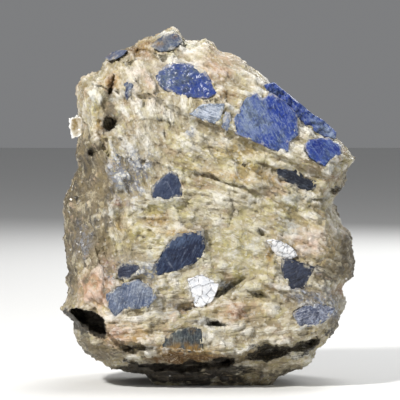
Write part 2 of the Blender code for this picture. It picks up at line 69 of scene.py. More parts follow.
# Slopes of the block's sides, each with the place where it starts, in millimetres.
FLANK_SLOPE = 1.15
CREST_SLOPE = 0.55
CREST_START = 74
CORNER_SLOPE = 0.9
CORNER_START = 30
FOOT_FRONT = 13.5
FRONT_FOOT_SLOPE = 1.05
FOOT_BACK = 13.0
BACK_FOOT_SLOPE = 0.75

# How sharply ledges break off, how far hollows fade towards the rim, and how the stone laps over a crystal's edge.
SOFT_LEDGE = 1.6
CRISP_LEDGE = 0.8
HOLLOW_FADE = 1.5
LAP_REACH = 2.4
LEAST_LAP = 0.05
SEAT_DEPTH = 1.0

# Wear of the rim, less at the base, and how the back draws in.
WEAR_REACH = 6.0
WEAR_START = 5.0
WEAR_AT_BASE = 0.55
WEAR_RISE = 0.45
WEAR_HEIGHT = 6.0
EASE_START = 10.0
EASE_REACH = 14.0
EASE_HEIGHT = 12.0

# Shares of the fine relief, half thicknesses of the slabs before they are shaped, and limits of values and triangles.
SPOT_FALL = 1.4
LEAST_SHARE = 0.004
CALMING = 0.6
WALL_DETAIL = 0.62
HALF_SLAB = 9.0
CRYSTAL_SLAB = 1.5
HOLE_SHADE = 5.0
MOST_VALUE = 1.2
MOST_TRIANGLES = 190000

OUTLINE = [
    (100, 71), (104, 63), (110, 56), (120, 50), (132, 47), (138, 40), (150, 36), (165, 30), (173, 27),
    (179, 31), (185, 41), (200, 41), (205, 38), (213, 42), (220, 50), (235, 55), (250, 65), (265, 78),
    (272, 89), (283, 99), (300, 113), (315, 121), (323, 130), (335, 136), (342, 141), (350, 150),
    (355, 157), (349, 166), (345, 173), (345, 184), (338, 193), (331, 203), (338, 217), (343, 226),
    (351, 233), (352, 245), (355, 264), (351, 276), (341, 286), (345, 301), (340, 312), (338, 320),
    (333, 330), (324, 343), (315, 349), (315, 356), (308, 362), (303, 368), (290, 370), (280, 374),
    (274, 380), (270, 388), (158, 390), (152, 380), (144, 373), (130, 372), (112, 368), (100, 361),
    (85, 352), (78, 341), (74, 332), (74, 320), (64, 312), (61, 308), (66, 300), (69, 288), (68, 278),
    (70, 270), (66, 256), (65, 228), (65, 200), (70, 186), (77, 170), (79, 165), (75, 154), (78, 138),
    (80, 132), (80, 122), (78, 112), (77, 100), (78, 85), (83, 77), (95, 72),
]
RIM_ANGLES = [-180, -150, -120, -90, -60, -30, 0, 30, 50, 70, 95, 120, 150, 180]
RIM_FRONT = [6, 8, 9, 14, 11, 8, 10, 13, 15, 13, 9, 9, 8, 6]
RIM_BACK = [9, 8, 11, 14, 13, 10, 8, 7, 6, 6, 5, 6, 8, 9]
FLANK_EDGE = [(60, 84), (100, 82), (135, 92), (160, 110), (195, 112), (230, 100), (262, 92), (285, 76), (330, 72)]
LEDGES = [
    ("above", 2.2, 24, [(120, 88), (150, 95), (190, 116), (235, 131), (290, 158), (345, 177)]),
    ("below", 1.8, 16, [(262, 172), (282, 184), (300, 190), (334, 204)]),
    ("above", 1.3, 10, [(180, 166), (212, 173), (225, 180), (245, 184)]),
    ("above", 2.0, 12, [(240, 276), (225, 284), (211, 294), (190, 304), (165, 306)]),
    ("above", 1.6, 12, [(108, 329), (120, 339), (150, 337), (166, 344)]),
    ("above", 3.0, 14, [(158, 352), (190, 350), (225, 352), (245, 345), (262, 337), (290, 338), (316, 329)]),
    ("above", 1.2, 9, [(112, 132), (98, 133), (80, 140)]),
    ("above", 1.4, 10, [(130, 47), (150, 50), (165, 52), (185, 42)]),
    ("below", 1.0, 9, [(84, 262), (104, 258), (124, 254), (150, 250)]),
]
HOLLOWS = [
    (11.0, 0.9, [(69, 307), (77, 303), (93, 304), (107, 312), (109, 329), (100, 330), (84, 323), (76, 317)]),
    (6.5, 2.2, [(238, 353), (262, 338), (290, 339), (314, 331), (322, 335), (312, 346), (292, 347), (266, 357)]),
    (7.5, 2.2, [(118, 349), (140, 357), (165, 356), (200, 355), (236, 352), (232, 363), (180, 370), (138, 366)]),
    (2.2, 1.6, [(259, 228), (272, 232), (284, 237), (298, 250), (316, 262), (304, 283), (284, 283), (275, 256)]),
    (2.0, 1.5, [(268, 166), (300, 165), (316, 180), (303, 190), (280, 181)]),
    (2.4, 1.2, [(240, 277), (222, 288), (204, 300), (184, 307), (184, 303), (204, 296), (222, 283)]),
]
# The three deepest hollows, which get painted shade.
DEEPEST = [(depth, mouth) for depth, _, mouth in HOLLOWS[:3]]
PITS = [
    (112, 83, 8, 2.5, 75, 2.2), (111, 121, 7, 9, 10, 3.2), (113, 102, 7, 9, 0, 1.4), (92, 149, 6, 7, 0, 2.8),
    (77, 197, 4, 4, 0, 1.8), (335, 189, 9, 5, -10, 3.5), (219, 353, 11, 3.5, 0, 3.0), (215, 316, 9, 3, 10, 1.8),
    (131, 341, 10, 3, 5, 1.6), (257, 288, 8, 3, -10, 1.4), (104, 142, 9, 2.5, 60, 1.4), (318, 197, 9, 2.5, 0, 1.4),
    (120, 200, 12, 6, 15, -1.4), (316, 215, 6, 5, 0, -1.0), (298, 232, 30, 14, 25, -1.2), (160, 318, 22, 9, 5, -1.0),
    (100, 282, 14, 16, -20, -1.4), (205, 60, 20, 10, 10, -1.0), (232, 340, 18, 8, -15, -0.8),
]

# Crystals: outline of the face, how far it stands proud, its slopes to the right and upwards, and its root's depth.
CRYSTALS = {
    "sapphire_crest": (
        [(153, 46), (160, 40), (169, 35), (179, 35), (183, 41), (174, 48), (163, 51)],
        0.6, -0.05, -0.10, 6,
    ),
    "sapphire_shoulder": ([(106, 58), (112, 53), (121, 50), (129, 50), (123, 55), (112, 60)], 0.6, 0.05, -0.05, 4),
    "sapphire_upper": (
        [(158, 80), (160, 71), (172, 63), (192, 65), (205, 72), (216, 92), (205, 97), (186, 95), (166, 88)],
        0.3, 0.12, 0.05, 8,
    ),
    "sapphire_silver": ([(191, 112), (203, 104), (223, 103), (219, 116), (214, 121), (203, 117)], 0.3, 0.05, 0.20, 5),
    "sapphire_sliver": ([(225, 111), (229, 112), (229, 124), (226, 128), (222, 123)], 0.2, 0.15, 0.0, 4),
    "sapphire_large": (
        [(247, 95), (256, 93), (262, 99), (270, 92), (283, 101), (293, 110), (295, 132), (286, 139), (286, 148),
         (276, 148), (258, 140), (236, 131), (234, 117), (241, 104)],
        0.6, 0.04, 0.03, 10,
    ),
    "sapphire_right": (
        [(302, 144), (308, 138), (325, 138), (336, 144), (337, 151), (327, 155), (322, 162), (308, 154)],
        0.3, -0.05, 0.05, 7,
    ),
    "sapphire_dark": (
        [(275, 166), (295, 165), (300, 175), (313, 178), (313, 185), (302, 188), (289, 180), (278, 176)],
        0.5, 0.08, 0.15, 6,
    ),
    "sapphire_middle": (
        [(170, 169), (176, 170), (182, 184), (182, 192), (166, 196), (154, 193), (154, 184)],
        0.5, 0.05, -0.10, 7,
    ),
    "sapphire_long": (
        [(177, 230), (203, 227), (204, 251), (184, 262), (160, 269), (153, 264), (166, 244)],
        0.7, 0.06, 0.18, 9,
    ),
    "sapphire_knot": ([(119, 263), (125, 258), (139, 260), (141, 264), (131, 272), (122, 272)], 0.5, 0.0, 0.15, 5),
    "sapphire_pale": (
        [(110, 287), (122, 280), (139, 274), (153, 283), (157, 291), (148, 300), (128, 301), (118, 309), (110, 300)],
        0.5, 0.08, 0.05, 8,
    ),
    "sapphire_rusty": (
        [(166, 329), (180, 323), (193, 319), (201, 322), (201, 342), (186, 342), (165, 340)],
        0.5, 0.05, -0.15, 7,
    ),
    "sapphire_low": (
        [(280, 254), (295, 257), (312, 262), (306, 272), (302, 282), (290, 282), (282, 272)],
        0.9, 0.10, 0.20, 7,
    ),
    "sapphire_corner": (
        [(291, 306), (303, 299), (320, 298), (331, 302), (326, 311), (313, 318), (298, 318)],
        0.5, -0.05, 0.05, 8,
    ),
    "sapphire_bead": ([(127, 84), (131, 81), (135, 83), (134, 88), (129, 98), (127, 94)], 0.4, 0.0, 0.1, 4),
    "mica_plate_centre": (
        [(189, 274), (202, 270), (217, 279), (211, 293), (203, 298), (196, 298), (191, 284)],
        0.9, 0.05, 0.06, 2,
    ),
    "mica_plate_right": (
        [(266, 236), (277, 235), (290, 244), (294, 250), (284, 254), (273, 246)],
        0.9, 0.10, 0.25, 2,
    ),
}
SLAB = [
    (263, 84), (273, 82), (290, 96), (311, 113), (321, 119), (334, 131), (333, 137), (319, 134), (296, 121),
    (279, 109), (268, 98),
]
SLAB_FRONT = 18.8
SLAB_BACK = 4.0
SLAB_FRONT_TILT = 0.18
SLAB_BACK_TILT = -0.32
FLAKE = [(70, 117), (79, 112), (86, 116), (86, 132), (79, 138), (73, 139), (69, 128)]
FLAKE_FRONT = 10.5
FLAKE_BACK = 8.3
FLAKE_TILT = 0.2

# Open cracks: width and depth in millimetres, and their run.
CRACKS = [
    (0.30, 1.4, [(132, 47), (150, 51), (163, 53), (176, 49), (185, 42)]),
    (0.45, 1.8, [(115, 73), (112, 83), (110, 92)]),
    (0.35, 1.6, [(100, 132), (104, 142), (110, 153)]),
    (0.30, 1.2, [(64, 215), (70, 218), (77, 223)]),
    (0.35, 1.6, [(196, 169), (212, 173), (222, 179), (244, 183)]),
    (0.40, 2.0, [(119, 272), (127, 276), (138, 272)]),
    (0.80, 3.0, [(240, 276), (225, 284), (213, 293), (203, 299), (190, 303), (184, 305)]),
    (0.45, 2.2, [(258, 226), (263, 232), (270, 234), (280, 231)]),
    (0.50, 2.2, [(264, 233), (270, 243), (276, 256), (281, 264)]),
    (0.40, 2.0, [(309, 196), (327, 196)]),
    (0.35, 1.6, [(248, 285), (257, 288), (265, 292)]),
    (0.55, 2.0, [(207, 313), (214, 317), (224, 318)]),
    (0.70, 2.8, [(107, 328), (114, 335), (121, 339), (134, 345)]),
    (0.40, 1.6, [(121, 335), (135, 339), (152, 340)]),
    (0.60, 2.4, [(225, 358), (240, 352), (255, 343), (266, 338)]),
    (0.30, 1.0, [(150, 95), (170, 104), (190, 115), (206, 122)]),
    (0.25, 0.9, [(285, 183), (302, 191), (318, 199)]),
    (0.25, 0.8, [(96, 232), (99, 246), (106, 258)]),
    (0.30, 1.2, [(296, 250), (303, 256), (316, 258)]),
    (0.25, 1.0, [(228, 186), (233, 205), (228, 222)]),
]

# Small holes with crisp edges: depth, width of the slope, and the outline of the mouth.
HOLES = [
    (2.2, 0.8, [(104, 118), (110, 112), (117, 116), (117, 127), (110, 131), (104, 126)]),
    (1.6, 0.7, [(88, 146), (94, 143), (98, 149), (94, 155), (88, 153)]),
    (1.6, 0.7, [(75, 194), (79, 193), (80, 199), (76, 200)]),
    (1.8, 0.9, [(326, 186), (336, 183), (344, 187), (342, 192), (330, 192)]),
    (1.8, 0.9, [(208, 351), (220, 349), (233, 351), (229, 357), (213, 357)]),
    (1.5, 0.7, [(206, 312), (214, 314), (224, 316), (216, 320), (208, 318)]),
    (1.2, 0.7, [(249, 286), (262, 287), (265, 291), (254, 291)]),
    (1.4, 0.8, [(303, 258), (318, 258), (322, 264), (308, 265)]),
    (1.2, 0.7, [(121, 336), (136, 337), (152, 339), (138, 342), (124, 341)]),
]

# Runs of the grain: place and reach of each area, and the direction of its streaks in degrees.
GRAIN_RUNS = [
    (115, 118, 45, 45, -62), (165, 110, 30, 25, -78), (80, 215, 30, 75, -80), (290, 200, 70, 40, -24),
    (230, 140, 50, 22, -26), (225, 60, 50, 22, -35), (210, 215, 45, 30, -12), (180, 300, 80, 30, 8),
    (270, 330, 50, 25, 12), (160, 360, 90, 14, -6), (105, 285, 22, 25, -50), (305, 285, 40, 30, -18),
]

# Smoother cleavage faces: place and reach.
CALM = [
    (238, 235, 34, 44), (222, 60, 22, 14), (300, 150, 30, 10), (318, 228, 18, 14), (140, 70, 16, 10),
    (215, 325, 20, 12),
]


def across(column):
    return (column - GRID_MIDDLE) * STEP


def height(row):
    return (GRID_BASE - row) * STEP


def placed(points):
    """Grid points (across, down) as an array of x and z in millimetres."""
    return np.array([(across(column), height(row)) for column, row in points])


def smooth_step(value):
    value = np.clip(value, 0, 1)
    return value * value * (3 - 2 * value)


def smooth_least(first, second, blend):
    """The smaller of two surfaces, with the edge between them rounded."""
    mix = np.clip(0.5 + 0.5 * (second - first) / blend, 0, 1)
    return second * (1 - mix) + first * mix - blend * mix * (1 - mix)


def nearest_on_line(x, z, line, closed):
    """Distance from each point to a line on the grid, and the side it lies on: positive to the left of the run."""
    line = placed(line)
    ends = np.roll(line, -1, axis=0) if closed else line[1:]
    starts = line if closed else line[:-1]
    best = np.full(x.shape, np.inf)
    side = np.zeros(x.shape)
    for (x0, z0), (x1, z1) in zip(starts, ends):
        run_x, run_z = x1 - x0, z1 - z0
        share = np.clip(((x - x0) * run_x + (z - z0) * run_z) / (run_x**2 + run_z**2), 0, 1)
        gap = np.hypot(x - x0 - share * run_x, z - z0 - share * run_z)
        turn = np.sign(run_x * (z - z0) - run_z * (x - x0))
        nearer = gap < best
        side = np.where(nearer, turn, side)
        best = np.where(nearer, gap, best)
    return best, side


def depth_inside(x, z, line):
    """Signed distance to a closed line on the grid, positive inside."""
    corners = placed(line)
    inside = np.zeros(x.shape, bool)
    for (x0, z0), (x1, z1) in zip(corners, np.roll(corners, -1, axis=0)):
        crosses = (z0 > z) != (z1 > z)
        reach = x0 + (z - z0) / (z1 - z0 if z1 != z0 else 1e-9) * (x1 - x0)
        inside ^= crosses & (x < reach)
    gap, _ = nearest_on_line(x, z, line, closed=True)
    return np.where(inside, gap, -gap)


def cells_near(u, v, size, lift, tilt, seed):
    """For each of the nine cells around a point: its offsets from the cell's middle, and how high its patch is."""
    draws = np.random.default_rng(seed).uniform(-1, 1, (5, CELLS, CELLS))
    column = np.floor(u / size).astype(int)
    row = np.floor(v / size).astype(int)
    for i, j in itertools.product((-1, 0, 1), repeat=2):
        c, r = (column + i) % CELLS, (row + j) % CELLS
        du = u - (column + i + 0.5 + CELL_SCATTER * draws[0, c, r]) * size
        dv = v - (row + j + 0.5 + CELL_SCATTER * draws[1, c, r]) * size
        yield du, dv, lift * draws[2, c, r] + tilt * (du * draws[3, c, r] + dv * draws[4, c, r])


def broken_facets(u, v, size, lift, tilt, seed):
    """A broken surface: flat patches of about this size, each lifted and tilted a little in its own way."""
    surface = np.zeros(u.shape)
    total = np.full(u.shape, 1e-12)
    for du, dv, patch in cells_near(u, v, size, lift, tilt, seed):
        weight = np.exp(-(du * du + dv * dv) / (size * FACET_EDGE))
        surface += weight * patch
        total += weight
    return surface / total


def chips(u, v, size, lift, tilt, seed):
    """Small sharp-edged patches: a value for each point, and its distance to the nearest edge between patches."""
    first = np.full(u.shape, np.inf)
    second = np.full(u.shape, np.inf)
    surface = np.zeros(u.shape)
    for du, dv, patch in cells_near(u, v, size, lift, tilt, seed):
        away = np.hypot(du, dv)
        nearer = away < first
        second = np.where(nearer, first, np.minimum(second, away))
        surface = np.where(nearer, patch, surface)
        first = np.minimum(first, away)
    return surface, second - first


def grain(x, y, z, size, octaves, seed):
    """Smooth noise between about -1 and 1, with features of about this size, as the solid's own surface has."""
    points = np.stack([x, y, z], axis=-1) / size + seed
    return np.array([noise.fractal(Vector(point), 1.0, 2.0, octaves) for point in points])


def ripple(u, v, w, seed):
    """Gradient noise between about -1 and 1, with features of unit size."""
    draw = np.random.default_rng(seed)
    shuffle = np.tile(draw.permutation(256), 2)
    slopes = draw.normal(size=(256, 3))
    slopes /= np.linalg.norm(slopes, axis=1, keepdims=True)
    cell = [np.floor(value).astype(int) for value in (u, v, w)]
    part = [value - low for value, low in zip((u, v, w), cell)]
    ease = [share**3 * (share * (share * 6 - 15) + 10) for share in part]
    total = np.zeros(u.shape)
    for i, j, k in itertools.product((0, 1), repeat=3):
        corner = shuffle[(shuffle[(shuffle[(cell[0] + i) & 255] + cell[1] + j) & 255] + cell[2] + k) & 255]
        slope = slopes[corner]
        pull = slope[..., 0] * (part[0] - i) + slope[..., 1] * (part[1] - j) + slope[..., 2] * (part[2] - k)
        share = [(value if side else 1 - value) for value, side in zip(ease, (i, j, k))]
        total += share[0] * share[1] * share[2] * pull
    return RIPPLE_REACH * total


def layered(u, v, w, octaves, seed):
    """Gradient noise with finer and finer layers."""
    total = np.zeros(u.shape)
    for layer in range(octaves):
        total += 0.5**layer * ripple(u * 2**layer, v * 2**layer, w * 2**layer, seed + layer)
    return total


def terraces(value, steps):
    """A smooth field turned into flat treads with short risers."""
    scaled = value * steps
    low = np.floor(scaled)
    return (low + smooth_step((scaled - low - TREAD) / RISER)) / steps


def turned(x, z, degrees):
    """Distances along and across a direction of the front."""
    angle = np.radians(degrees)
    return x * np.cos(angle) + z * np.sin(angle), z * np.cos(angle) - x * np.sin(angle)


def spot(x, z, column, row, half_width, half_height, turn):
    """A soft round patch on the front, 1 in its middle."""
    along, aside = turned(x - across(column), z - height(row), turn)
    return np.exp(-SPOT_FALL * ((along / (half_width * STEP)) ** 2 + (aside / (half_height * STEP)) ** 2))


def spots(x, z, table):
    """The sum of a table's soft patches: place, reach, turn and strength of each."""
    return sum(strength * spot(x, z, *place) for *place, strength in table)


def lines_drawn(x, z, table):
    """The strongest of a table's lines at each point: width, strength and run of each."""
    value = np.zeros(x.shape)
    for width, strength, run in table:
        gap, _ = nearest_on_line(x, z, run, closed=False)
        value = np.maximum(value, strength * np.exp(-((gap / width) ** 2)))
    return value


def ledges(x, z, crisp):
    relief = np.zeros(x.shape)
    for proud, lift, reach, line in LEDGES:
        gap, side = nearest_on_line(x, z, line, closed=False)
        side = side if proud == "above" else -side
        relief += lift * smooth_step(0.5 + side * gap / crisp) * np.exp(-gap / reach)
    return relief


def holes(x, z, mouths):
    sunk = np.zeros(x.shape)
    for depth, slope, mouth in mouths:
        sunk = np.maximum(sunk, depth * smooth_step(depth_inside(x, z, mouth) / slope))
    return sunk


def front_surface(x, z, crisp):
    """How far the front stands before the middle plane, away from the rim."""
    main = FRONT_DEPTH - 0.03 * (z - 45) - 0.03 * x
    edge = np.interp(-z, [-height(row) for row, _ in FLANK_EDGE], [across(column) for _, column in FLANK_EDGE])
    main = smooth_least(main, FRONT_DEPTH + 1.0 + FLANK_SLOPE * (x - edge), 2.0)
    main = smooth_least(main, FRONT_DEPTH - 2.5 - CREST_SLOPE * (z - CREST_START), 3.0)
    main = smooth_least(main, FRONT_DEPTH - 1.0 - CORNER_SLOPE * (x - CORNER_START), 2.5)
    main = smooth_least(main, FOOT_FRONT + FRONT_FOOT_SLOPE * z, 2.0)
    main += broken_facets(x + 0.35 * z, z - 0.2 * x, 9.0, 0.55, 0.10, 4)
    main += 0.8 * grain(x, 0 * x, z, 11.0, 3, 2.5)
    return main + ledges(x, z, crisp) - spots(x, z, PITS)


def back_surface(x, z):
    """How far the back stands behind the middle plane, away from the rim."""
    main = BACK_DEPTH - 0.16 * np.abs(x + 4) - 0.02 * (z - 30)
    main = smooth_least(main, BACK_DEPTH + 1.0 - 0.45 * (z - 40) + 0.14 * x, 2.5)
    main = smooth_least(main, BACK_DEPTH - 0.8 * (x - 10) - 0.1 * (z - 40), 2.5)
    main = smooth_least(main, BACK_DEPTH + 0.6 * (x + 14) - 0.16 * (z - 40), 2.5)
    main = smooth_least(main, FOOT_BACK + BACK_FOOT_SLOPE * z, 2.0)
    main += broken_facets(x - 0.4 * z, z + 0.3 * x, 13.0, 1.4, 0.18, 11)
    return main + 1.1 * grain(x, 0 * x + 40, z, 12.0, 3, 7.5)


def rim_gap(x, z):
    """Distance from each point inside the silhouette to it, and 0 outside."""
    return np.maximum(depth_inside(x, z, OUTLINE), 0)


def bearing(x, z):
    """Direction of each point from the middle of the front view, in degrees."""
    return np.degrees(np.arctan2(z - height(MIDDLE_ROW), x))


def rounded(gap, radius):
    """Rise of a round edge from 0 at the rim to 1 at this distance from it."""
    return np.sqrt(np.clip(1 - (1 - np.clip(gap / radius, 0, 1)) ** 2, 0, 1))


def block_depths(x, z, gap, crisp=SOFT_LEDGE):
    """How far the block reaches before and behind its middle plane."""
    angle = bearing(x, z)
    wander = 1.6 * np.sin(np.radians(7 * angle + 20)) + 1.2 * np.sin(np.radians(13 * angle + 75))
    front_rim = np.interp(angle, RIM_ANGLES, RIM_FRONT) + 0.6 * wander
    back_rim = np.interp(angle, RIM_ANGLES, RIM_BACK) - wander
    front = front_rim + (front_surface(x, z, crisp) - front_rim) * rounded(gap, RIM_ROUND)
    front -= holes(x, z, HOLLOWS) * smooth_step(gap / HOLLOW_FADE)
    back = back_rim + (back_surface(x, z) - back_rim) * rounded(gap, BACK_ROUND)
    return front, back


def face_plane(name):
    """Middle of a crystal's face, how far it stands before the middle plane there, and its two slopes."""
    points, proud, slope_x, slope_z, _ = CRYSTALS[name]
    line = placed(points)
    middle = line.mean(axis=0)
    around = np.vstack([line, (line + middle) / 2, middle])
    stand, _ = block_depths(around[:, 0], around[:, 1], rim_gap(around[:, 0], around[:, 1]))
    away = np.column_stack([np.ones(len(around)), around - middle])
    level, lean_x, lean_z = np.linalg.lstsq(away, stand, rcond=None)[0]
    return middle, level + proud, lean_x + slope_x, lean_z + slope_z


FACES = {name: face_plane(name) for name in CRYSTALS}


def face_level(name, x, z):
    """How far a crystal's face stands before the middle plane at each point."""
    middle, stand, slope_x, slope_z = FACES[name]
    return stand + slope_x * (x - middle[0]) + slope_z * (z - middle[1])


def ragged_edge(x, z):
    """How far a crystal's visible border wanders where broken stone laps over it."""
    bites, _ = chips(x, z, 1.6, 0.45, 0.0, 403)
    wander = 0.30 * ripple(x / 2.2, 0 * x, z / 2.2, 401) + 0.15 * ripple(x / 0.8, 0 * x, z / 0.8, 402)
    return -np.clip(0.22 + bites + wander, -0.15, 0.95)


def set_around_crystals(x, z, front):
    """The front with a seat under each crystal and broken stone that laps over its edge, and how near an edge is."""
    border = np.full(x.shape, 9.0)
    for name, (points, *_) in CRYSTALS.items():
        within = depth_inside(x, z, points) + ragged_edge(x, z)
        near = within > -LAP_REACH
        level = face_level(name, x[near], z[near])
        lap = np.maximum(0.14 + 0.35 * ripple(x[near] / 2.6, 0 * x[near], z[near] / 2.6, 411), LEAST_LAP)
        share = smooth_step(-within[near] / LAP_REACH)
        held = (level + lap) * (1 - share) + front[near] * share
        sunk = level - SEAT_DEPTH
        drop = smooth_step((within[near] + 0.15) / 0.3)
        front[near] = held * (1 - drop) + np.minimum(held, sunk) * drop
        border[near] = np.minimum(border[near], np.abs(within[near]))
    return front, border


def eased_share(angle):
    """Radius of the silhouette with its notches and corners evened out, over its true radius there."""
    outline = placed(OUTLINE)
    around = bearing(outline[:, 0], outline[:, 1])
    radius = np.hypot(outline[:, 0], outline[:, 1] - height(MIDDLE_ROW))
    order = np.argsort(around)
    even = np.arange(-180, 180, 3.0)
    drawn = np.interp(even, around[order], radius[order], period=360)
    window = np.hanning(21) / np.hanning(21).sum()
    eased = np.convolve(np.tile(drawn, 3), window, "same")[len(even) : 2 * len(even)]
    return np.interp(angle, even, eased / drawn, period=360)


def shaped(points, half_slab):
    """The slab's points moved onto the broken surfaces of the block."""
    x, y, z = points.T
    gap = rim_gap(x, z)
    front, back = block_depths(x, z, gap, CRISP_LEDGE)
    front -= np.maximum(lines_drawn(x, z, CRACKS), holes(x, z, HOLES)) * smooth_step(gap / 1.0)
    front, _ = set_around_crystals(x, z, front)
    share = y / half_slab
    depth = np.where(share < 0, share * front, share * back)
    angle = bearing(x, z)
    behind = depth - 3.0 * np.sin(np.radians(3 * angle + 40)) + 1.0
    patches = np.abs(broken_facets(angle * 0.6, depth + 0.1 * angle, 9.0, 1.0, 0.2, 21))
    worn = np.where(behind > 0, 0.14 * behind + 1.6 * patches, 0.05 * -behind + 0.35 * patches)
    near = np.exp(-gap / WEAR_REACH)
    low_wear = WEAR_AT_BASE + WEAR_RISE * smooth_step(z / WEAR_HEIGHT)
    worn *= smooth_step(np.abs(behind) / WEAR_START) * near * low_wear
    ease = (eased_share(angle) - 1) * smooth_step(behind / EASE_START) * np.exp(-gap / EASE_REACH)
    ease = 1 + ease * smooth_step(z / EASE_HEIGHT)
    inward = np.stack([-x, height(MIDDLE_ROW) - z], axis=-1)
    radius = np.linalg.norm(inward, axis=1) + 1e-6
    shift = (worn / radius + 1 - ease)[:, None] * inward
    return np.stack([x + shift[:, 0], depth, z + shift[:, 1]], axis=-1)


def streaked(x, y, z, turn, long, short, octaves, seed):
    """Noise drawn out along one direction of the front."""
    along, aside = turned(x, z, turn)
    return layered(along / long, aside / short, y / short, octaves, seed)


def run_shares(x, z):
    """How much each run of the grain counts at each point."""
    shares = np.array([spot(x, z, *place, 0) + 1e-4 for *place, _ in GRAIN_RUNS]) ** 3
    return shares / shares.sum(axis=0)


def cleavage_steps(x, y, z, turn, period, seed):
    """Parallel treads with sharp risers, as split feldspar shows, along one direction of the front."""
    along, aside = turned(x, z, turn)
    bend = layered(along / 7.0, aside / 3.0, y / 5.0, 2, seed)
    phase = aside / period + 0.9 * bend
    tread = phase - np.floor(phase)
    return (tread - 0.5) * smooth_step((1 - tread) / STEP_RISER)


def stone_detail(points):
    """Height of the fine breaks over the block's surface, and the streaks and layers that its colours follow too."""
    x, y, z = points.T
    steps, splinters, ribs, lamellae, streaks = (np.zeros(x.shape) for _ in range(5))
    for share, (*_, turn) in zip(run_shares(x, z), GRAIN_RUNS):
        near = share > LEAST_SHARE
        u, v, w, part = x[near], y[near], z[near], share[near]
        along, aside = turned(u, w, turn)
        split, _ = chips(0.32 * along + 0.2 * v, aside + 0.15 * v, 1.3, 0.30, 0.16, 8)
        steps[near] += part * cleavage_steps(u, v, w, turn, 2.3, 23)
        splinters[near] += part * split
        ribs[near] += part * (0.35 - np.abs(streaked(u, v, w, turn, 5.0, 0.95, 2, 63)))
        lamellae[near] += part * streaked(u, v, w, turn, 8.0, 2.2, 3, 31)
        streaks[near] += part * streaked(u, v, w, turn, 3.0, 0.60, 3, 47)
    calm = 1 - CALMING * np.clip(sum(spot(x, z, *place, 0) for place in CALM), 0, 1)
    strength = 0.60 + 0.45 * layered(x / 6, y / 6, z / 6, 2, 19)
    shards, _ = chips(x - 0.4 * y + 0.2 * z, z + 0.5 * y, 3.4, 0.30, 0.16, 9)
    sugar = np.maximum(layered(x / 1.6, y / 1.6, z / 1.6, 2, 91) - 0.38, 0)
    detail = 0.80 * strength * steps + 0.9 * splinters
    detail += 0.60 * terraces(lamellae, 2.5)
    detail += 0.55 * ribs + 0.22 * streaks
    detail += shards
    detail += 0.32 * layered(x / 3.0, y / 3.0, z / 3.0, 3, 71)
    detail -= 0.9 * sugar
    return detail * calm, streaks, lamellae


def vertex_values(mesh, kind):
    values = np.empty(len(mesh.vertices) * 3, np.float32)
    mesh.vertices.foreach_get(kind, values)
    return values.reshape(-1, 3).astype(float)


def surface_of(piece):
    """The piece's points in millimetres, and its normals."""
    return vertex_values(piece.data, "co") / MM, vertex_values(piece.data, "normal")


def put_points(mesh, points):
    mesh.vertices.foreach_set("co", (points * MM).astype(np.float32).ravel())
    mesh.update()


def put_value(mesh, name, values):
    attribute = mesh.attributes.new(name, "FLOAT", "POINT")
    attribute.data.foreach_set("value", np.asarray(values, np.float32))


def middled(field):
    """A field between -1 and 1 as a value between 0 and 1."""
    return 0.5 + 0.5 * np.clip(field, -1, 1)


def slab_from(name, outline, low, high):
    """A flat outline in the front view, filled and given a thickness from low to high along Y, as a mesh object."""
    curve = bpy.data.curves.new(name, "CURVE")
    curve.dimensions = "2D"
    curve.fill_mode = "BOTH"
    curve.extrude = (high - low) / 2 * MM
    spline = curve.splines.new("POLY")
    spline.points.add(len(outline) - 1)
    for point, (x, z) in zip(spline.points, placed(outline)):
        point.co = (x * MM, z * MM, 0, 1)
    spline.use_cyclic_u = True
    drawn = bpy.data.objects.new(name, curve)
    bpy.context.scene.collection.objects.link(drawn)
    mesh = bpy.data.meshes.new_from_object(drawn.evaluated_get(bpy.context.evaluated_depsgraph_get()))
    bpy.data.objects.remove(drawn)
    made = bmesh.new()
    made.from_mesh(mesh)
    bmesh.ops.remove_doubles(made, verts=made.verts, dist=1e-6)
    middle = (low + high) / 2 * MM
    for vert in made.verts:
        vert.co = (vert.co.x, middle - vert.co.z, vert.co.y)
    bmesh.ops.recalc_face_normals(made, faces=made.faces)
    made.to_mesh(mesh)
    made.free()
    piece = bpy.data.objects.new(name, mesh)
    bpy.context.scene.collection.objects.link(piece)
    return piece


def applied(piece, modifier):
    """The piece with its modifier worked into the mesh."""
    bpy.context.view_layer.update()
    mesh = bpy.data.meshes.new_from_object(piece.evaluated_get(bpy.context.evaluated_depsgraph_get()))
    piece.modifiers.remove(modifier)
    piece.data = mesh


def evenly_meshed(piece, spacing):
    remesh = piece.modifiers.new("even points", "REMESH")
    remesh.mode = "VOXEL"
    remesh.voxel_size = spacing * MM
    applied(piece, remesh)


def cut_level(piece):
    """The piece cut off flat at the height it stands on, and closed there."""
    cut = bmesh.new()
    cut.from_mesh(piece.data)
    everything = cut.verts[:] + cut.edges[:] + cut.faces[:]
    level = bmesh.ops.bisect_plane(cut, geom=everything, plane_co=(0, 0, 0), plane_no=(0, 0, 1), clear_inner=True)
    rim = [edge for edge in level["geom_cut"] if isinstance(edge, bmesh.types.BMEdge)]
    bmesh.ops.holes_fill(cut, edges=rim, sides=0)
    bmesh.ops.triangulate(cut, faces=[face for face in cut.faces if len(face.verts) > 4])
    bmesh.ops.recalc_face_normals(cut, faces=cut.faces)
    cut.to_mesh(piece.data)
    cut.free()


def thinned(piece, most_triangles):
    count = sum(len(face.vertices) - 2 for face in piece.data.polygons)
    if count > most_triangles:
        thin = piece.modifiers.new("thinned", "DECIMATE")
        thin.ratio = most_triangles / count
        applied(piece, thin)


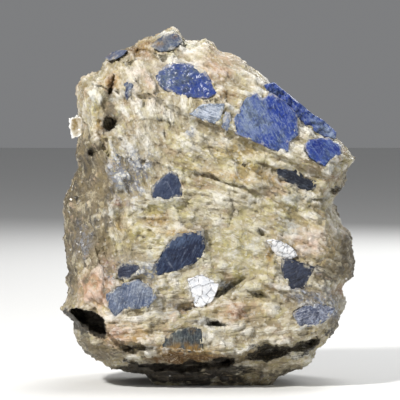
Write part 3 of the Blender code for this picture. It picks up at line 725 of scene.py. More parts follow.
# Colours and patches of the stone. Each patch: across, down, half width, half height, turn, strength.
PATCHES = {
    "schist": [
        (80, 208, 22, 66, 5, 1.5), (92, 165, 14, 30, 20, 0.9), (100, 150, 10, 24, 30, 0.8),
        (112, 106, 9, 22, 10, 0.9), (108, 185, 12, 20, 10, 0.8), (70, 160, 8, 25, 0, 1.0),
        (100, 235, 16, 22, 0, 0.6), (350, 255, 12, 30, 5, 1.3), (346, 180, 8, 16, 0, 0.9),
        (325, 268, 26, 12, 15, 0.7), (300, 290, 34, 12, 12, 0.55), (95, 345, 26, 22, -20, 0.7),
        (180, 296, 12, 14, 0, 0.8), (155, 352, 12, 9, 0, 0.6), (190, 372, 60, 9, 0, 0.9),
        (280, 365, 38, 14, -10, 0.6), (333, 320, 14, 24, 0, 0.7), (245, 384, 60, 8, 0, 0.7),
        (345, 140, 8, 10, 0, 0.5), (160, 258, 10, 8, 0, 0.4), (125, 215, 18, 12, 10, 0.35),
        (140, 240, 22, 14, 0, 0.35), (120, 345, 30, 6, 10, 0.6), (72, 275, 6, 30, 0, 0.7),
    ],
    "straw": [
        (243, 160, 28, 24, 20, 1.0), (238, 242, 36, 46, 0, 0.8), (150, 232, 34, 14, -10, 0.8),
        (160, 205, 26, 10, 10, 0.8), (228, 122, 36, 9, -26, 0.7), (300, 212, 36, 12, -20, 0.6),
        (205, 76, 8, 14, 30, 0.6), (180, 205, 26, 30, 0, 0.5), (245, 300, 30, 14, 10, 0.6),
        (102, 105, 8, 30, -10, 0.7), (165, 130, 26, 12, -40, 0.4), (130, 225, 14, 20, 0, 0.6),
        (200, 245, 12, 16, 0, 0.5), (280, 200, 20, 8, -20, 0.7), (190, 165, 14, 8, 0, 0.7),
        (330, 240, 10, 18, 0, 0.4),
    ],
    "ochre": [
        (226, 93, 9, 6, 0, 0.9), (143, 47, 14, 8, 20, 1.1), (114, 79, 9, 13, 0, 1.1), (228, 172, 34, 5, -12, 0.9),
        (262, 171, 28, 5, -20, 0.8), (180, 228, 26, 4, 0, 0.8), (190, 349, 26, 9, 0, 2.6),
        (245, 350, 26, 6, 20, 0.6), (168, 340, 9, 7, 0, 1.4), (102, 125, 6, 16, -10, 0.9), (84, 88, 6, 8, 0, 0.6),
        (140, 328, 22, 9, 0, 0.6), (240, 148, 22, 8, 0, 0.6), (160, 215, 14, 5, 0, 0.6), (285, 248, 10, 14, 0, 0.4),
        (120, 222, 14, 8, 0, 0.7), (268, 250, 4, 12, 0, 1.0),
    ],
    "rust": [
        (121, 199, 10, 5, -15, 1.2), (99, 245, 6, 16, -10, 1.2), (112, 258, 14, 5, -30, 1.0),
        (228, 95, 9, 5, 10, 0.9), (113, 82, 5, 9, 0, 0.8), (237, 305, 14, 7, 10, 0.8), (268, 282, 9, 7, 0, 0.6),
        (118, 325, 12, 10, 20, 0.6), (190, 351, 20, 5, 0, 1.5), (176, 345, 8, 5, 0, 1.2), (330, 176, 10, 5, 0, 0.7),
        (226, 75, 12, 10, 0, 0.35), (79, 125, 4, 14, 0, 0.7), (145, 55, 12, 5, 0, 0.5), (200, 222, 24, 4, 0, 0.4),
        (345, 232, 6, 10, 0, 0.5), (155, 218, 10, 6, 0, 0.4),
    ],
    "pink": [
        (98, 280, 22, 24, -10, 1.4), (122, 328, 26, 14, 10, 0.8), (96, 240, 8, 14, 0, 0.7),
        (220, 62, 26, 16, 20, 0.6), (310, 240, 34, 20, -10, 0.5), (310, 290, 24, 8, 10, 0.4),
        (238, 304, 22, 12, 0, 0.7), (150, 80, 22, 20, 0, 0.35), (340, 288, 10, 8, 0, 0.8),
    ],
    "blue": [
        (134, 172, 16, 28, 5, 1.5), (118, 165, 9, 22, 0, 0.9), (150, 160, 14, 12, 0, 0.8), (86, 236, 9, 16, 0, 0.7),
        (224, 279, 9, 5, -15, 1.3), (312, 300, 28, 16, 10, 0.6), (196, 312, 9, 6, 0, 0.9), (282, 262, 6, 8, 0, 0.5),
        (303, 290, 22, 8, 5, 0.9), (332, 303, 8, 14, 0, 0.8), (150, 264, 15, 7, 20, 1.4), (113, 266, 8, 8, 0, 1.0),
        (205, 232, 6, 12, 0, 0.5), (248, 240, 30, 20, 0, 0.18), (190, 130, 5, 6, 0, 1.3), (160, 118, 4, 3, 0, 1.0),
        (128, 254, 14, 6, 0, 0.8), (303, 262, 12, 5, -15, 1.0), (329, 163, 8, 8, 0, 0.6), (228, 114, 6, 12, 0, 0.4),
        (150, 272, 10, 8, 0, 0.7), (143, 290, 20, 16, 0, 0.3), (330, 145, 14, 6, 0, 0.2), (165, 300, 14, 8, 0, 0.4),
    ],
    "white": [
        (150, 72, 30, 16, 0, 0.9), (150, 125, 22, 30, -10, 0.9), (195, 60, 16, 12, 0, 0.7),
        (205, 205, 28, 20, 0, 0.8), (240, 68, 18, 10, -30, 0.6), (130, 152, 10, 8, 0, 0.6),
        (182, 108, 14, 8, -20, 0.7), (300, 150, 34, 8, -26, 0.8), (318, 228, 26, 18, -10, 0.7),
        (200, 262, 20, 9, 20, 0.8), (296, 128, 10, 20, -35, 0.7), (150, 310, 20, 8, 0, 0.5),
        (270, 325, 34, 9, 0, 0.6), (135, 205, 12, 4, -5, 1.0), (133, 252, 10, 4, 0, 0.7), (230, 195, 14, 8, 0, 0.7),
        (290, 132, 6, 20, -30, 0.4), (215, 335, 20, 10, 10, 0.6), (240, 325, 16, 8, 20, 0.5),
        (88, 120, 8, 14, 0, 0.5),
    ],
    "bronze": [
        (189, 351, 21, 7, 0, 2.4), (176, 345, 9, 7, 0, 1.4), (222, 351, 14, 5, -8, 1.2), (113, 80, 4, 8, 0, 0.8),
        (135, 50, 16, 5, 20, 0.9), (152, 42, 7, 5, 0, 0.7), (118, 262, 6, 4, 0, 0.5), (104, 128, 4, 12, -15, 0.7),
        (158, 352, 8, 4, 0, 0.8), (240, 305, 9, 5, 0, 0.5), (330, 176, 6, 4, 0, 0.8), (226, 94, 6, 4, 0, 0.5),
    ],
    # dark: painted shade in the hollows, holes and cracks and under the shelves at the foot
    "dark": [
        (112, 121, 8, 9, 0, 0.5), (92, 149, 7, 8, 0, 0.4), (88, 316, 18, 11, -15, 1.2), (182, 366, 60, 7, 0, 0.9),
        (280, 344, 36, 7, -8, 0.75), (160, 366, 40, 9, -4, 1.3), (228, 364, 28, 8, 0, 0.8),
        (80, 314, 14, 10, -10, 1.8), (220, 354, 14, 5, 0, 1.2), (335, 188, 10, 6, 0, 1.0),
        (212, 290, 30, 3, 25, 0.8), (122, 260, 6, 5, 0, 0.5), (77, 197, 4, 4, 0, 1.0), (200, 376, 60, 7, 0, 0.8),
        (310, 262, 12, 4, -15, 0.6), (215, 316, 10, 3, 10, 1.0), (135, 340, 18, 3, 5, 0.7),
        (256, 289, 10, 3, -12, 0.6), (327, 328, 10, 7, 0, 0.6),
    ],
}


def paint_stone(piece, points, detail, streaks, lamellae):
    """Values over the stone that its colours are mixed from."""
    x, y, z = points.T
    breakup = 0.55 * lamellae + 0.5 * streaks + 0.5 * layered(x / 2.0, y / 2.0, z / 2.0, 3, 5)
    fronting = smooth_step(-y / 9.0 + 0.2)
    around = layered(x / 16, y / 16, z / 16, 3, 15)
    veined = np.maximum(0.5 - 6.0 * np.abs(layered(x / 13, y / 13, z / 30, 2, 25)), 0)
    back = {
        "schist": 0.80 + 1.0 * around - 0.9 * veined, "straw": 0.3 - 0.6 * around, "white": 0.3 + 1.4 * veined,
        "ochre": 0.3 + 0.8 * around, "rust": 0.2, "pink": 0.1 - 0.4 * around,
    }
    values = {}
    for name, table in PATCHES.items():
        value = fronting * spots(x, z, table) + (1 - fronting) * back.get(name, 0.0)
        values[name] = value * (1 + 0.9 * breakup) + 0.22 * breakup * (value > 0.04)
    # Painted shade in the deepest hollows and the small holes, laid into the dark value.
    for depth, mouth in DEEPEST + [(HOLE_SHADE, mouth) for _, _, mouth in HOLES]:
        shade = depth / 9 * smooth_step((depth_inside(x, z, mouth) + 0.2 + 0.5 * breakup) / 0.7)
        shade *= 1 + 0.5 * streaks
        values["dark"] = np.maximum(values["dark"], shade * smooth_step((4 - y) / 3))
    values = {name: np.clip(value, 0, MOST_VALUE) for name, value in values.items()}
    _, border = set_around_crystals(x, z, np.zeros(x.shape))
    # Painted shade in a thin seam along each crystal's edge, broken up by the streaks.
    seam_shade = np.exp(-((border / 0.45) ** 2)) * fronting * smooth_step(0.5 + 1.6 * breakup)
    halo = 0.7 * np.exp(-((border / 0.9) ** 2)) * fronting * smooth_step(0.20 + 1.5 * breakup)
    values["blue"] = np.maximum(values["blue"], halo)
    # low: the low places of the fine relief, for painted shade there and a painted highlight on the raised places.
    values |= {"low": smooth_step(0.42 - detail / 1.5), "seam_shade": seam_shade}
    values |= {"streak": middled(streaks), "layer": middled(lamellae)}
    shares = run_shares(x, z)
    turns = np.array([turn for *_, turn in GRAIN_RUNS])
    nearest = np.array([np.abs(turns - turn) for turn in FIBRE_TURNS.values()]).argmin(axis=0)
    for index, name in enumerate(FIBRE_TURNS):
        values[name] = shares[nearest == index].sum(axis=0)
    for name, value in values.items():
        put_value(piece.data, name, value)


def stone_block():
    block = slab_from("stone_block", OUTLINE, -HALF_SLAB, HALF_SLAB)
    evenly_meshed(block, 0.36)
    put_points(block.data, shaped(surface_of(block)[0], HALF_SLAB))
    points, normals = surface_of(block)
    detail, streaks, lamellae = stone_detail(points)
    paint_stone(block, points, detail, streaks, lamellae)
    x, y, z = points.T
    for outline, *_ in CRYSTALS.values():
        covered = smooth_step((depth_inside(x, z, outline) + ragged_edge(x, z) + 0.9) / 1.4)
        detail = np.where((y < -6) & (covered > 0), detail * (1 - covered), detail)
    detail = detail * (WALL_DETAIL + (1 - WALL_DETAIL) * np.abs(normals[:, 1]))
    put_points(block.data, points + normals * (detail - 0.15)[:, None])
    cut_level(block)
    thinned(block, MOST_TRIANGLES)
    block.data.materials.append(feldspar_material())
    block.data.shade_smooth()
    return block


# How each crystal's face is broken: size of its facets, their lift and tilt, direction and depth of its striations.
CRYSTAL_RELIEF = {
    "sapphire_crest": (1.8, 0.16, 0.12, 20, 0.05), "sapphire_shoulder": (1.4, 0.12, 0.10, 20, 0.04),
    "sapphire_upper": (2.6, 0.06, 0.04, -35, 0.04), "sapphire_silver": (0.9, 0.10, 0.14, -20, 0.05),
    "sapphire_sliver": (1.0, 0.06, 0.08, 80, 0.05), "sapphire_large": (3.4, 0.08, 0.045, -62, 0.035),
    "sapphire_right": (1.7, 0.12, 0.10, -50, 0.05), "sapphire_dark": (1.4, 0.18, 0.14, -30, 0.05),
    "sapphire_middle": (3.0, 0.05, 0.04, 60, 0.02), "sapphire_long": (2.4, 0.09, 0.06, 65, 0.04),
    "sapphire_knot": (1.6, 0.12, 0.10, 10, 0.04), "sapphire_pale": (1.8, 0.12, 0.08, 75, 0.07),
    "sapphire_rusty": (2.2, 0.06, 0.05, 86, 0.11), "sapphire_low": (2.2, 0.16, 0.12, 30, 0.05),
    "sapphire_corner": (1.1, 0.30, 0.22, 20, 0.06), "sapphire_bead": (1.0, 0.12, 0.12, 60, 0.03),
    "mica_plate_centre": (2.0, 0.03, 0.02, 0, 0.0), "mica_plate_right": (1.4, 0.03, 0.03, -30, 0.0),
}
SLAB_RELIEF = (1.4, 0, 0, -37, 0)


def crystal_detail(name, x, z, within):
    """Height of the breaks and growth lines on a crystal's face."""
    size, lift, tilt, turn, ridge = CRYSTAL_RELIEF[name]
    seed = 100 + list(CRYSTALS).index(name)
    plates, edge = chips(x, z, size, lift, tilt, seed)
    small, _ = chips(x, z, 0.32 * size, 0.10, 0.22, seed + 9)
    detail = 0.7 * plates + 0.3 * small + 0.24 * layered(x / 3.5, 0 * x, z / 3.5, 2, seed + 5)
    detail += 1.6 * ridge * streaked(x, 0 * x, z, turn, 5.0, 0.45, 2, seed)
    detail += 0.07 * layered(x / 0.6, 0 * x, z / 0.6, 2, seed + 7)
    if name.startswith("mica"):
        detail = 0.5 * detail - 0.22 * np.exp(-((edge / 0.12) ** 2))
    calm = smooth_step((within + 0.2) / 1.2)
    return 0.9 * detail * (0.25 + 0.75 * calm) - 0.08 * (1 - calm)


# Colour zones on the crystals' faces, as the stone's patches.
ZONES = {
    "deep": [
        (205, 87, 12, 9, -20, 2.2), (184, 88, 14, 7, -15, 0.5), (283, 112, 15, 24, 0, 1.6),
        (270, 104, 8, 14, 0, 0.8), (314, 143, 10, 6, -20, 1.2), (328, 150, 8, 5, 0, 0.8),
        (262, 141, 26, 7, -25, 0.9), (186, 248, 22, 12, 25, 1.1), (295, 274, 14, 8, 0, 0.9),
        (170, 181, 10, 10, 0, 0.5), (129, 266, 9, 5, 0, 0.8), (292, 173, 14, 8, 0, 0.8), (129, 94, 3, 4, 0, 0.9),
        (290, 96, 30, 8, -40, 0.8), (300, 180, 14, 8, -20, 0.6),
    ],
    "pale": [
        (168, 78, 12, 12, -15, 1.1), (196, 70, 12, 4, -15, 0.6), (246, 112, 11, 24, 5, 1.0),
        (262, 112, 4, 18, 0, 0.5), (182, 235, 18, 5, 20, 1.1), (144, 282, 14, 9, 0, 0.8), (118, 290, 9, 12, 0, 0.4),
        (207, 110, 18, 8, 0, 0.8), (328, 154, 8, 6, 0, 0.8), (316, 308, 20, 12, 0, 0.5), (174, 330, 8, 10, 0, 0.5),
        (165, 44, 14, 7, 0, 0.4), (131, 84, 4, 3, 0, 0.8), (325, 130, 14, 6, -40, 1.2), (158, 265, 5, 4, 0, 0.6),
        (160, 192, 8, 4, 0, 0.3), (225, 115, 5, 10, 0, 0.6),
    ],
    "stain": [
        (185, 343, 24, 8, 0, 1.8), (160, 42, 8, 5, 0, 0.7), (178, 36, 8, 3, 0, 0.8), (115, 262, 6, 5, 0, 0.5),
        (196, 322, 10, 4, 0, 0.4), (168, 326, 8, 6, 0, 0.5), (112, 55, 6, 3, 0, 0.4),
    ],
}
VEINS = [
    (0.16, 1, [(166, 250), (169, 256), (174, 263)]), (0.12, 1, [(187, 243), (184, 250), (181, 257)]),
    (0.12, 1, [(193, 246), (196, 240), (198, 233)]), (0.10, 1, [(176, 246), (182, 243), (190, 240)]),
    (0.14, 1, [(183, 83), (190, 74), (199, 68)]), (0.10, 1, [(262, 96), (266, 104), (258, 118)]),
    (0.10, 1, [(284, 103), (288, 116), (282, 128)]), (0.10, 1, [(160, 180), (168, 178), (174, 190)]),
]


def paint_crystal(piece, name):
    """Values over a crystal that its colours are mixed from."""
    x, y, z = surface_of(piece)[0].T
    size, _, _, turn, _ = CRYSTAL_RELIEF.get(name, SLAB_RELIEF)
    seed = 300 + len(name)
    breakup = layered(x / 1.6, y / 1.6, z / 1.6, 3, seed)
    values = {zone: np.clip(spots(x, z, table) * (1 + 0.6 * breakup), 0, MOST_VALUE) for zone, table in ZONES.items()}
    values["vein"] = lines_drawn(x, z, VEINS)
    values["streak"] = middled(streaked(x, y, z, turn, 4.0, 0.40, 3, seed + 1))
    values["border"] = np.zeros(x.shape)
    if name in CRYSTALS:
        bites, _ = chips(x, z, 1.5, 1.0, 0.0, seed + 50)
        creep = 0.10 + 0.5 * np.maximum(bites + 0.5 * breakup, -0.4)
        values["border"] = smooth_step(0.5 + (creep - depth_inside(x, z, CRYSTALS[name][0])) / 0.3)
    _, edge = chips(x, z, size, 0, 0, 100 + list(CRYSTALS).index(name) if name in CRYSTALS else 9)
    values["crack"] = np.exp(-((edge / 0.13) ** 2))
    for label, value in values.items():
        put_value(piece.data, label, value)


LAP = 0.45


def crystal_piece(name):
    """A crystal from its face's outline down to its root in the stone."""
    outline, *_, root = CRYSTALS[name]
    (middle_x, middle_z), stand, _, _ = FACES[name]
    piece = slab_from(name + "_face", outline, -CRYSTAL_SLAB, 0)
    evenly_meshed(piece, 0.2)
    x, y, z = surface_of(piece)[0].T
    within = depth_inside(x, z, outline)
    inward = np.maximum(within, 0)
    share = np.clip(-y / CRYSTAL_SLAB, 0, 1)
    face = face_level(name, x, z) + crystal_detail(name, x, z, within) * smooth_step((share - 0.5) / 0.5)
    foot = stand - root
    ragged = 0.22 * ripple(x / 1.1, y / 1.1, z / 1.1, 77) * np.exp(-inward / 0.5)
    away = np.hypot(x - middle_x, z - middle_z) + 1e-6
    wider = LAP * np.exp(-inward / 1.5) * smooth_step((rim_gap(x, z) - 0.3) / 1.2)
    outward = (ragged + wider) / away
    depth = -(foot + (face - foot) * share)
    put_points(piece.data, np.stack([x + outward * (x - middle_x), depth, z + outward * (z - middle_z)], axis=-1))
    paint_crystal(piece, name)
    piece.data.shade_smooth()
    return piece


def sloped_ends(points, front, back, front_tilt, back_tilt, outline):
    """A plate's points with its front and back ends sloping across its run."""
    x, y, z = points.T
    share = np.clip((-y - back) / (front - back), 0, 1)
    away = x - placed(outline)[:, 0].mean()
    return np.stack([x, y + away * (share * front_tilt + (1 - share) * back_tilt), z], axis=-1)


def rim_slab():
    """The slab of sapphire along the upper right rim, ribbed along its run and worn at its edges."""
    piece = slab_from("sapphire_slab", SLAB, -SLAB_FRONT, -SLAB_BACK)
    evenly_meshed(piece, 0.22)
    points, normals = surface_of(piece)
    x, y, z = points.T
    plates, _ = chips(y, 0.25 * (x - z), 3.0, 0.08, 0.05, 61)
    detail = plates + 0.10 * streaked(x, z, y, 0, 6.0, 0.7, 2, 62) + 0.12 * layered(x / 1.5, y / 1.5, z / 1.5, 2, 64)
    end = np.maximum(np.minimum(SLAB_FRONT + y, -SLAB_BACK - y), 0)
    worn = 0.9 * np.exp(-((end / 0.8) ** 2)) * (1 + 0.9 * layered(x / 2.0, 0 * x, z / 2.0, 3, 65))
    points = points + normals * (detail - 0.1)[:, None]
    points[:, 1] += worn * np.sign(-(SLAB_FRONT + SLAB_BACK) / 2 - y)
    put_points(piece.data, sloped_ends(points, SLAB_FRONT, SLAB_BACK, SLAB_FRONT_TILT, SLAB_BACK_TILT, SLAB))
    paint_crystal(piece, "sapphire_slab")
    piece.data.shade_smooth()
    return piece


def rim_flake():
    """The glassy flake that stands out of the left rim, split into leaves and chipped at its edge."""
    piece = slab_from("flake", FLAKE, -FLAKE_FRONT, -FLAKE_BACK)
    evenly_meshed(piece, 0.16)
    points, normals = surface_of(piece)
    x, y, z = points.T
    leaves = 0.18 * terraces(streaked(x, y, z, -70, 4.0, 1.2, 2, 14), 3.0) + 0.10 * layered(x, y / 0.5, z, 2, 15)
    rim = depth_inside(x, z, FLAKE)
    chipped = 0.45 * np.exp(-np.abs(rim) / 0.5) * (1 + 1.2 * layered(x / 1.2, 0 * x, z / 1.2, 3, 16))
    middle_x, middle_z = placed(FLAKE).mean(axis=0)
    away = np.hypot(x - middle_x, z - middle_z) + 1e-6
    points = points + normals * (leaves - 0.05)[:, None]
    points[:, 0] -= chipped * (x - middle_x) / away
    points[:, 2] -= chipped * (z - middle_z) / away
    put_points(piece.data, sloped_ends(points, FLAKE_FRONT, FLAKE_BACK, -FLAKE_TILT, FLAKE_TILT, FLAKE))
    glass = np.exp(-((np.maximum(rim - 0.4 + 0.3 * layered(x, 0 * x, z, 2, 17), 0) / 0.35) ** 2))
    put_value(piece.data, "border", glass)
    piece.data.shade_smooth()
    return piece


class Signal:
    """An output of a node. Sums, products and shares of it are nodes of the same tree."""

    def __init__(self, socket):
        self.socket = socket
        self.tree = socket.id_data

    def __add__(self, other):
        return arithmetic("ADD", self, other)

    def __sub__(self, other):
        return arithmetic("SUBTRACT", self, other)

    def __rsub__(self, other):
        return arithmetic("SUBTRACT", other, self)

    def __mul__(self, other):
        return arithmetic("MULTIPLY", self, other)

    def __truediv__(self, other):
        return arithmetic("DIVIDE", self, other)

    def __gt__(self, other):
        return arithmetic("GREATER_THAN", self, other)

    def clamped(self):
        """The result of the last sum or product, kept between 0 and 1."""
        self.socket.node.use_clamp = True
        return self

    def between(self, low, high):
        """The value's place from low to high, as 0 to 1."""
        smooth = {"interpolation_type": "SMOOTHSTEP"}
        return place(self.tree, "ShaderNodeMapRange", smooth, Value=self, From_Min=low, From_Max=high)["Result"]


class Outputs:
    """A node's outputs by name or number."""

    def __init__(self, node):
        self.node = node

    def __getitem__(self, key):
        return Signal(self.node.outputs[key])


def feed(socket, value):
    """Links a signal to an input, or sets the input to a plain value. A colour gets its alpha."""
    if isinstance(value, Signal):
        socket.id_data.links.new(value.socket, socket)
    else:
        socket.default_value = (*value, 1.0) if socket.type == "RGBA" else value


def place(tree, kind, settings=None, **inputs):
    """A node with its settings made and its inputs fed."""
    made = tree.nodes.new(kind)
    for setting, value in (settings or {}).items():
        setattr(made, setting, value)
    for name, value in inputs.items():
        feed(made.inputs[name.replace("_", " ")], value)
    return Outputs(made)


def arithmetic(operation, first, second):
    tree = (first if isinstance(first, Signal) else second).tree
    made = place(tree, "ShaderNodeMath", {"operation": operation})
    feed(made.node.inputs[0], first)
    feed(made.node.inputs[1], second)
    return made[0]


def mixed(share, first, second):
    """Two colours mixed by a share."""
    made = place(share.tree, "ShaderNodeMix", {"data_type": "RGBA", "clamp_result": False})
    for index, value in ((0, share), (6, first), (7, second)):
        feed(made.node.inputs[index], value)
    return made[2]


def laid_over(colour, layers):
    """A colour with others laid over it, each by its share."""
    for layer, share in layers:
        colour = mixed(share, colour, layer)
    return colour


def noise_of(vector, scale, detail=3.0, roughness=0.6):
    settings = {"Scale": scale, "Detail": detail, "Roughness": roughness}
    return place(vector.tree, "ShaderNodeTexNoise", Vector=vector, **settings)["Fac"]


def new_group(name, inputs, outputs, kind="ShaderNodeTree"):
    """A node group, the signals that it is given, and the inputs of its result."""
    group = bpy.data.node_groups.new(name, kind)
    for label, socket_kind, default in inputs:
        socket = group.interface.new_socket(label, in_out="INPUT", socket_type="NodeSocket" + socket_kind)
        if default is not None:
            socket.default_value = default
    for label, socket_kind in outputs:
        group.interface.new_socket(label, in_out="OUTPUT", socket_type="NodeSocket" + socket_kind)
    return group, place(group, "NodeGroupInput"), place(group, "NodeGroupOutput").node.inputs


def crystalline_grain_group():
    """Fine sugary grain: a height for the bump, and a mask of the bright cleavage faces in it."""
    inputs = [("Vector", "Vector", None), ("Grain", "Float", 1200.0)]
    group, given, result = new_group("crystalline grain", inputs, [("Height", "Float"), ("Bright", "Float")])
    cells = place(group, "ShaderNodeTexVoronoi", {"feature": "F1"}, Vector=given["Vector"], Scale=given["Grain"])
    split = place(group, "ShaderNodeSeparateColor", Color=cells["Color"])
    feed(result["Height"], cells["Distance"] * 0.6 + noise_of(given["Vector"], given["Grain"], 4.0, 0.65))
    feed(result["Bright"], split["Red"].between(0.72, 0.95))
    return group


def drawn_grain_group():
    """Fine fibres drawn out along one direction of the front."""
    sizes = (0.0040, 0.0006, 0.0004)
    inputs = [("Vector", "Vector", None), ("Turn", "Vector", (0.0, 0.0, 0.0)), ("Size", "Vector", sizes)]
    group, given, result = new_group("drawn grain", inputs, [("Height", "Float")])
    turned_to = {"Vector": given["Vector"], "Rotation": given["Turn"], "Scale": given["Size"]}
    drawn = place(group, "ShaderNodeMapping", {"vector_type": "TEXTURE"}, **turned_to)
    feed(result["Height"], noise_of(drawn["Vector"], 1.0))
    return group


def hairline_group():
    """Hairlines between cells, thin and broken up."""
    inputs = [("Vector", "Vector", None), ("Cells", "Float", 300.0), ("Width", "Float", 0.03)]
    group, given, result = new_group("hairlines", inputs, [("Line", "Float")])
    bend = place(group, "ShaderNodeTexNoise", Vector=given["Vector"], Scale=400.0, Detail=3.0)
    shift = place(group, "ShaderNodeVectorMath", {"operation": "SCALE"}, Vector=bend["Color"], Scale=0.0012)
    moved = place(group, "ShaderNodeVectorMath", {"operation": "ADD"})
    feed(moved.node.inputs[0], given["Vector"])
    feed(moved.node.inputs[1], shift["Vector"])
    to_edge = {"feature": "DISTANCE_TO_EDGE"}
    cells = place(group, "ShaderNodeTexVoronoi", to_edge, Vector=moved["Vector"], Scale=given["Cells"])
    line = (1.0 - cells["Distance"] / given["Width"]).clamped()
    feed(result["Line"], line * noise_of(given["Vector"], 260.0).between(0.42, 0.58))
    return group


GRAIN_GROUP = crystalline_grain_group()
HAIRLINES = hairline_group()
DRAWN_GRAIN = drawn_grain_group()


class Finish:
    """A material being made, with the colour that the next layers are laid over."""

    def __init__(self, name, colour):
        self.made = bpy.data.materials.new(name)
        self.made.use_nodes = True
        self.tree = self.made.node_tree
        self.inputs = self.tree.nodes["Principled BSDF"].inputs
        self.where = place(self.tree, "ShaderNodeTexCoord")["Object"]
        self.colour = colour

    def value(self, name):
        return place(self.tree, "ShaderNodeAttribute", {"attribute_name": name})["Fac"]

    def noise(self, scale, detail=3.0, roughness=0.6):
        return noise_of(self.where, scale, detail, roughness)

    def group(self, group, **inputs):
        return place(self.tree, "ShaderNodeGroup", {"node_tree": group}, Vector=self.where, **inputs)

    def lay(self, colour, share):
        """Lays a colour over the colour so far, by a share."""
        self.colour = mixed(share, self.colour, colour)

    def finished(self, rough, relief, strength, distance, **settings):
        """The material with its colour, roughness and bump linked and the shader's own settings made."""
        bump = place(self.tree, "ShaderNodeBump", Strength=strength, Distance=distance, Height=relief)
        feed(self.inputs["Base Color"], self.colour)
        feed(self.inputs["Roughness"], rough)
        feed(self.inputs["Normal"], bump["Normal"])
        for name, value in settings.items():
            feed(self.inputs[name.replace("_", " ")], value)
        return self.made


CREAM = (0.50, 0.445, 0.315)
WHITE = (0.68, 0.66, 0.60)
ROSY = (0.52, 0.39, 0.27)
COOL = (0.36, 0.38, 0.36)
STRAW = (0.46, 0.405, 0.155)
OLIVE_STONE = (0.27, 0.25, 0.13)
# Brown for painted shade in low places and grooves, and for dark specks.
SHADE_AND_SPECK_BROWN = (0.20, 0.155, 0.08)
SCHIST_LIGHT = (0.13, 0.115, 0.09)
SCHIST_DARK = (0.030, 0.026, 0.022)
OLIVE = (0.14, 0.115, 0.055)
BRONZE = (0.115, 0.055, 0.008)
OCHRE = (0.40, 0.23, 0.04)
RUST = (0.24, 0.075, 0.03)
PEACH = (0.52, 0.28, 0.17)
STEEL_BLUE = (0.15, 0.18, 0.25)
SILVER = (0.55, 0.58, 0.64)
HAIRLINE_BROWN = (0.10, 0.07, 0.04)
SEAM_SHADE_BROWN = (0.09, 0.07, 0.045)
SHADE_DEEP = (0.012, 0.010, 0.008)
SHADE_LIGHT = (0.065, 0.053, 0.036)
PAINTED_GLINT_BLUE = (0.36, 0.44, 0.60)
NIGHT_BLUE = (0.006, 0.009, 0.022)
VEIN_GREY = (0.22, 0.25, 0.32)
STAIN_BROWN = (0.20, 0.11, 0.02)


# The three directions that the stone's fine fibres follow, in degrees.
FIBRE_TURNS = {"steep": -70, "slanting": -25, "level": 6}


def fibres_of(finish):
    """Height of the stone's fine fibres, from the share of each direction."""
    height = None
    for name, turn in FIBRE_TURNS.items():
        drawn = finish.group(DRAWN_GRAIN, Turn=(0.0, -np.radians(turn), 0.0))["Height"]
        part = drawn * finish.value(name)
        height = part if height is None else height + part
    return height


def schist_colour(stone, streak, layer, fibre, broad, tint, middle, fine):
    """Dark mica schist with olive, rosy and cream lenses, light fibres and darker blotches."""
    light_fibre = fibre.between(0.55, 0.66) * broad.between(0.48, 0.62)
    return laid_over(SCHIST_DARK, [
        (SCHIST_LIGHT, fine.between(0.40, 0.58)),
        (OLIVE, middle.between(0.50, 0.66)),
        (ROSY, streak.between(0.62, 0.84) * 0.6),
        (CREAM, layer.between(0.60, 0.76) * 0.6),
        (ROSY, light_fibre * 0.45),
        (SCHIST_DARK, (0.6 - fibre.between(0.36, 0.50)).clamped()),
        (SCHIST_DARK, (0.75 - tint.between(0.40, 0.50)).clamped()),
        (CREAM, stone.noise(260.0, 4.0, 0.65).between(0.55, 0.63) * 0.7),
        (SCHIST_DARK, (0.7 - layer.between(0.22, 0.42)).clamped()),
    ])


